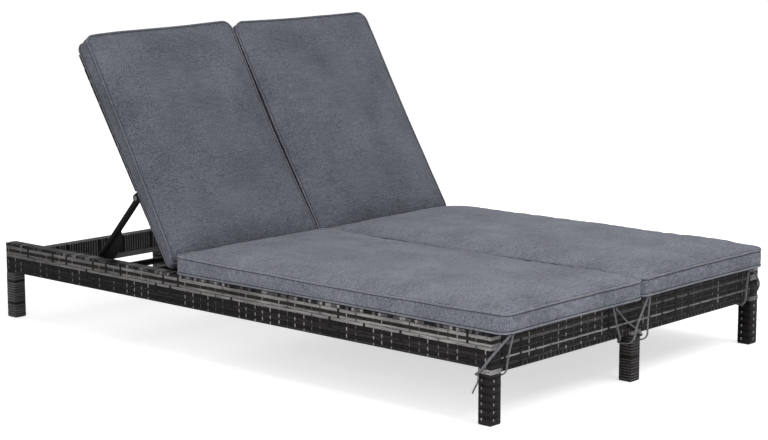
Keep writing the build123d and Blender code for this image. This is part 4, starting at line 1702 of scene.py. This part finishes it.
@dataclass
class Studio:
    """The camera, the pale floor and the soft light."""

    place: Point = (-4.0335, -3.6841, 1.2232)
    azimuth: float = math.radians(47.885)
    fall: float = math.radians(9.325)
    roll: float = math.radians(-0.08)
    lens: float = 89.39
    sensor: float = 36.0
    floor_size: float = 60.0
    floor_drop: float = 0.5 * MM
    floor_glow: float = 0.62
    sky_strength: float = 0.50
    aim: Point = (0.0, 0.0, 0.3)
    lamps: tuple[tuple[str, Point, float, float], ...] = (
        ("key", (0.2, -2.9, 4.3), 3.0, 98.0), ("fill", (-4.4, -1.8, 1.6), 2.2, 52.0),
        ("back", (1.8, 3.4, 3.2), 2.4, 22.0))

    def camera(self) -> bpy.types.Object:
        """Set up the camera where the photograph was taken.

        Returns:
            The camera.
        """
        data = bpy.data.cameras.new("camera")
        data.lens = self.lens
        data.sensor_width = self.sensor
        data.clip_end = 100.0
        camera = bpy.data.objects.new("camera", data)
        bpy.context.collection.objects.link(camera)
        camera.location = self.place
        turn = Matrix.Rotation(-self.azimuth, 4, "Z") @ Matrix.Rotation(math.pi / 2 - self.fall, 4, "X")
        camera.rotation_euler = (turn @ Matrix.Rotation(self.roll, 4, "Z")).to_euler()
        bpy.context.scene.camera = camera
        return camera

    def floor(self) -> bpy.types.Object:
        """Lay the pale floor.

        Returns:
            The floor.
        """
        Bench.clear()
        bpy.ops.mesh.primitive_plane_add(size=self.floor_size, location=(0.0, 0.0, -self.floor_drop))
        floor = bpy.context.object
        floor.name = "floor"
        material = bpy.data.materials.new("floor_paint")
        material.use_nodes = True
        tree = material.node_tree
        shader = tree.nodes["Principled BSDF"]
        shader.inputs["Base Color"].default_value = (0.86, 0.86, 0.86, 1.0)
        shader.inputs["Roughness"].default_value = 0.9
        glow = Finish.add(tree, "Emission", Strength=self.floor_glow)
        both = Finish.add(tree, "AddShader", shader.outputs["BSDF"], glow.outputs["Emission"])
        self.split(tree, shader.outputs["BSDF"], both.outputs["Shader"], "Material Output")
        floor.data.materials.append(material)
        return floor

    @staticmethod
    def split(tree: bpy.types.NodeTree, cast: bpy.types.NodeSocket, seen: bpy.types.NodeSocket,
              output: str) -> None:
        """Show the camera another shader than the one that lights the scene.

        Args:
            tree: The node tree.
            cast: The shader that lights the scene.
            seen: The shader that the camera sees.
            output: The name of the tree's output node.
        """
        path = Finish.add(tree, "LightPath")
        mix = Finish.add(tree, "MixShader", path.outputs["Is Camera Ray"], cast, seen)
        tree.links.new(mix.outputs["Shader"], tree.nodes[output].inputs["Surface"])

    def light(self) -> None:
        """Light the scene with a pale world and three soft lamps."""
        world = bpy.data.worlds.new("studio")
        bpy.context.scene.world = world
        world.use_nodes = True
        tree = world.node_tree
        sky = tree.nodes["Background"]
        sky.inputs["Color"].default_value = (1.0, 1.0, 1.0, 1.0)
        sky.inputs["Strength"].default_value = self.sky_strength
        seen = Finish.add(tree, "Background", Color=(1.0, 1.0, 1.0, 1.0), Strength=1.0)
        self.split(tree, sky.outputs["Background"], seen.outputs["Background"], "World Output")
        for name, place, size, power in self.lamps:
            data = bpy.data.lights.new(name, "AREA")
            data.shape = "SQUARE"
            data.size = size
            data.energy = power
            lamp = bpy.data.objects.new(name, data)
            bpy.context.collection.objects.link(lamp)
            lamp.location = place
            turned = (Vector(self.aim) - Vector(place)).to_track_quat("-Z", "Y")
            lamp.rotation_euler = turned.to_euler()

    def build(self) -> None:
        """Set up the whole studio."""
        self.floor()
        self.light()
        bpy.context.scene.view_settings.view_transform = "Standard"


def main() -> None:
    """Build the lounger's pieces in order and note their sizes."""
    logging.basicConfig(level=logging.INFO, format="%(name)s %(message)s")
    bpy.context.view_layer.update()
    studio = Studio()
    studio.camera()
    TieTapes().build()
    FrameCovers().build()
    WovenDeck("seat_weave", "seat_deck", "base", seed=72).build(*corners("seat_deck"),
                                                                Matrix.Identity(4))
    backrest = Backrest()
    backrest.build()
    Cushions(backrest).build()
    LOG.info("dressed %d nodes", Steelwork().dress())
    studio.build()


if __name__ == "__main__":
    main()
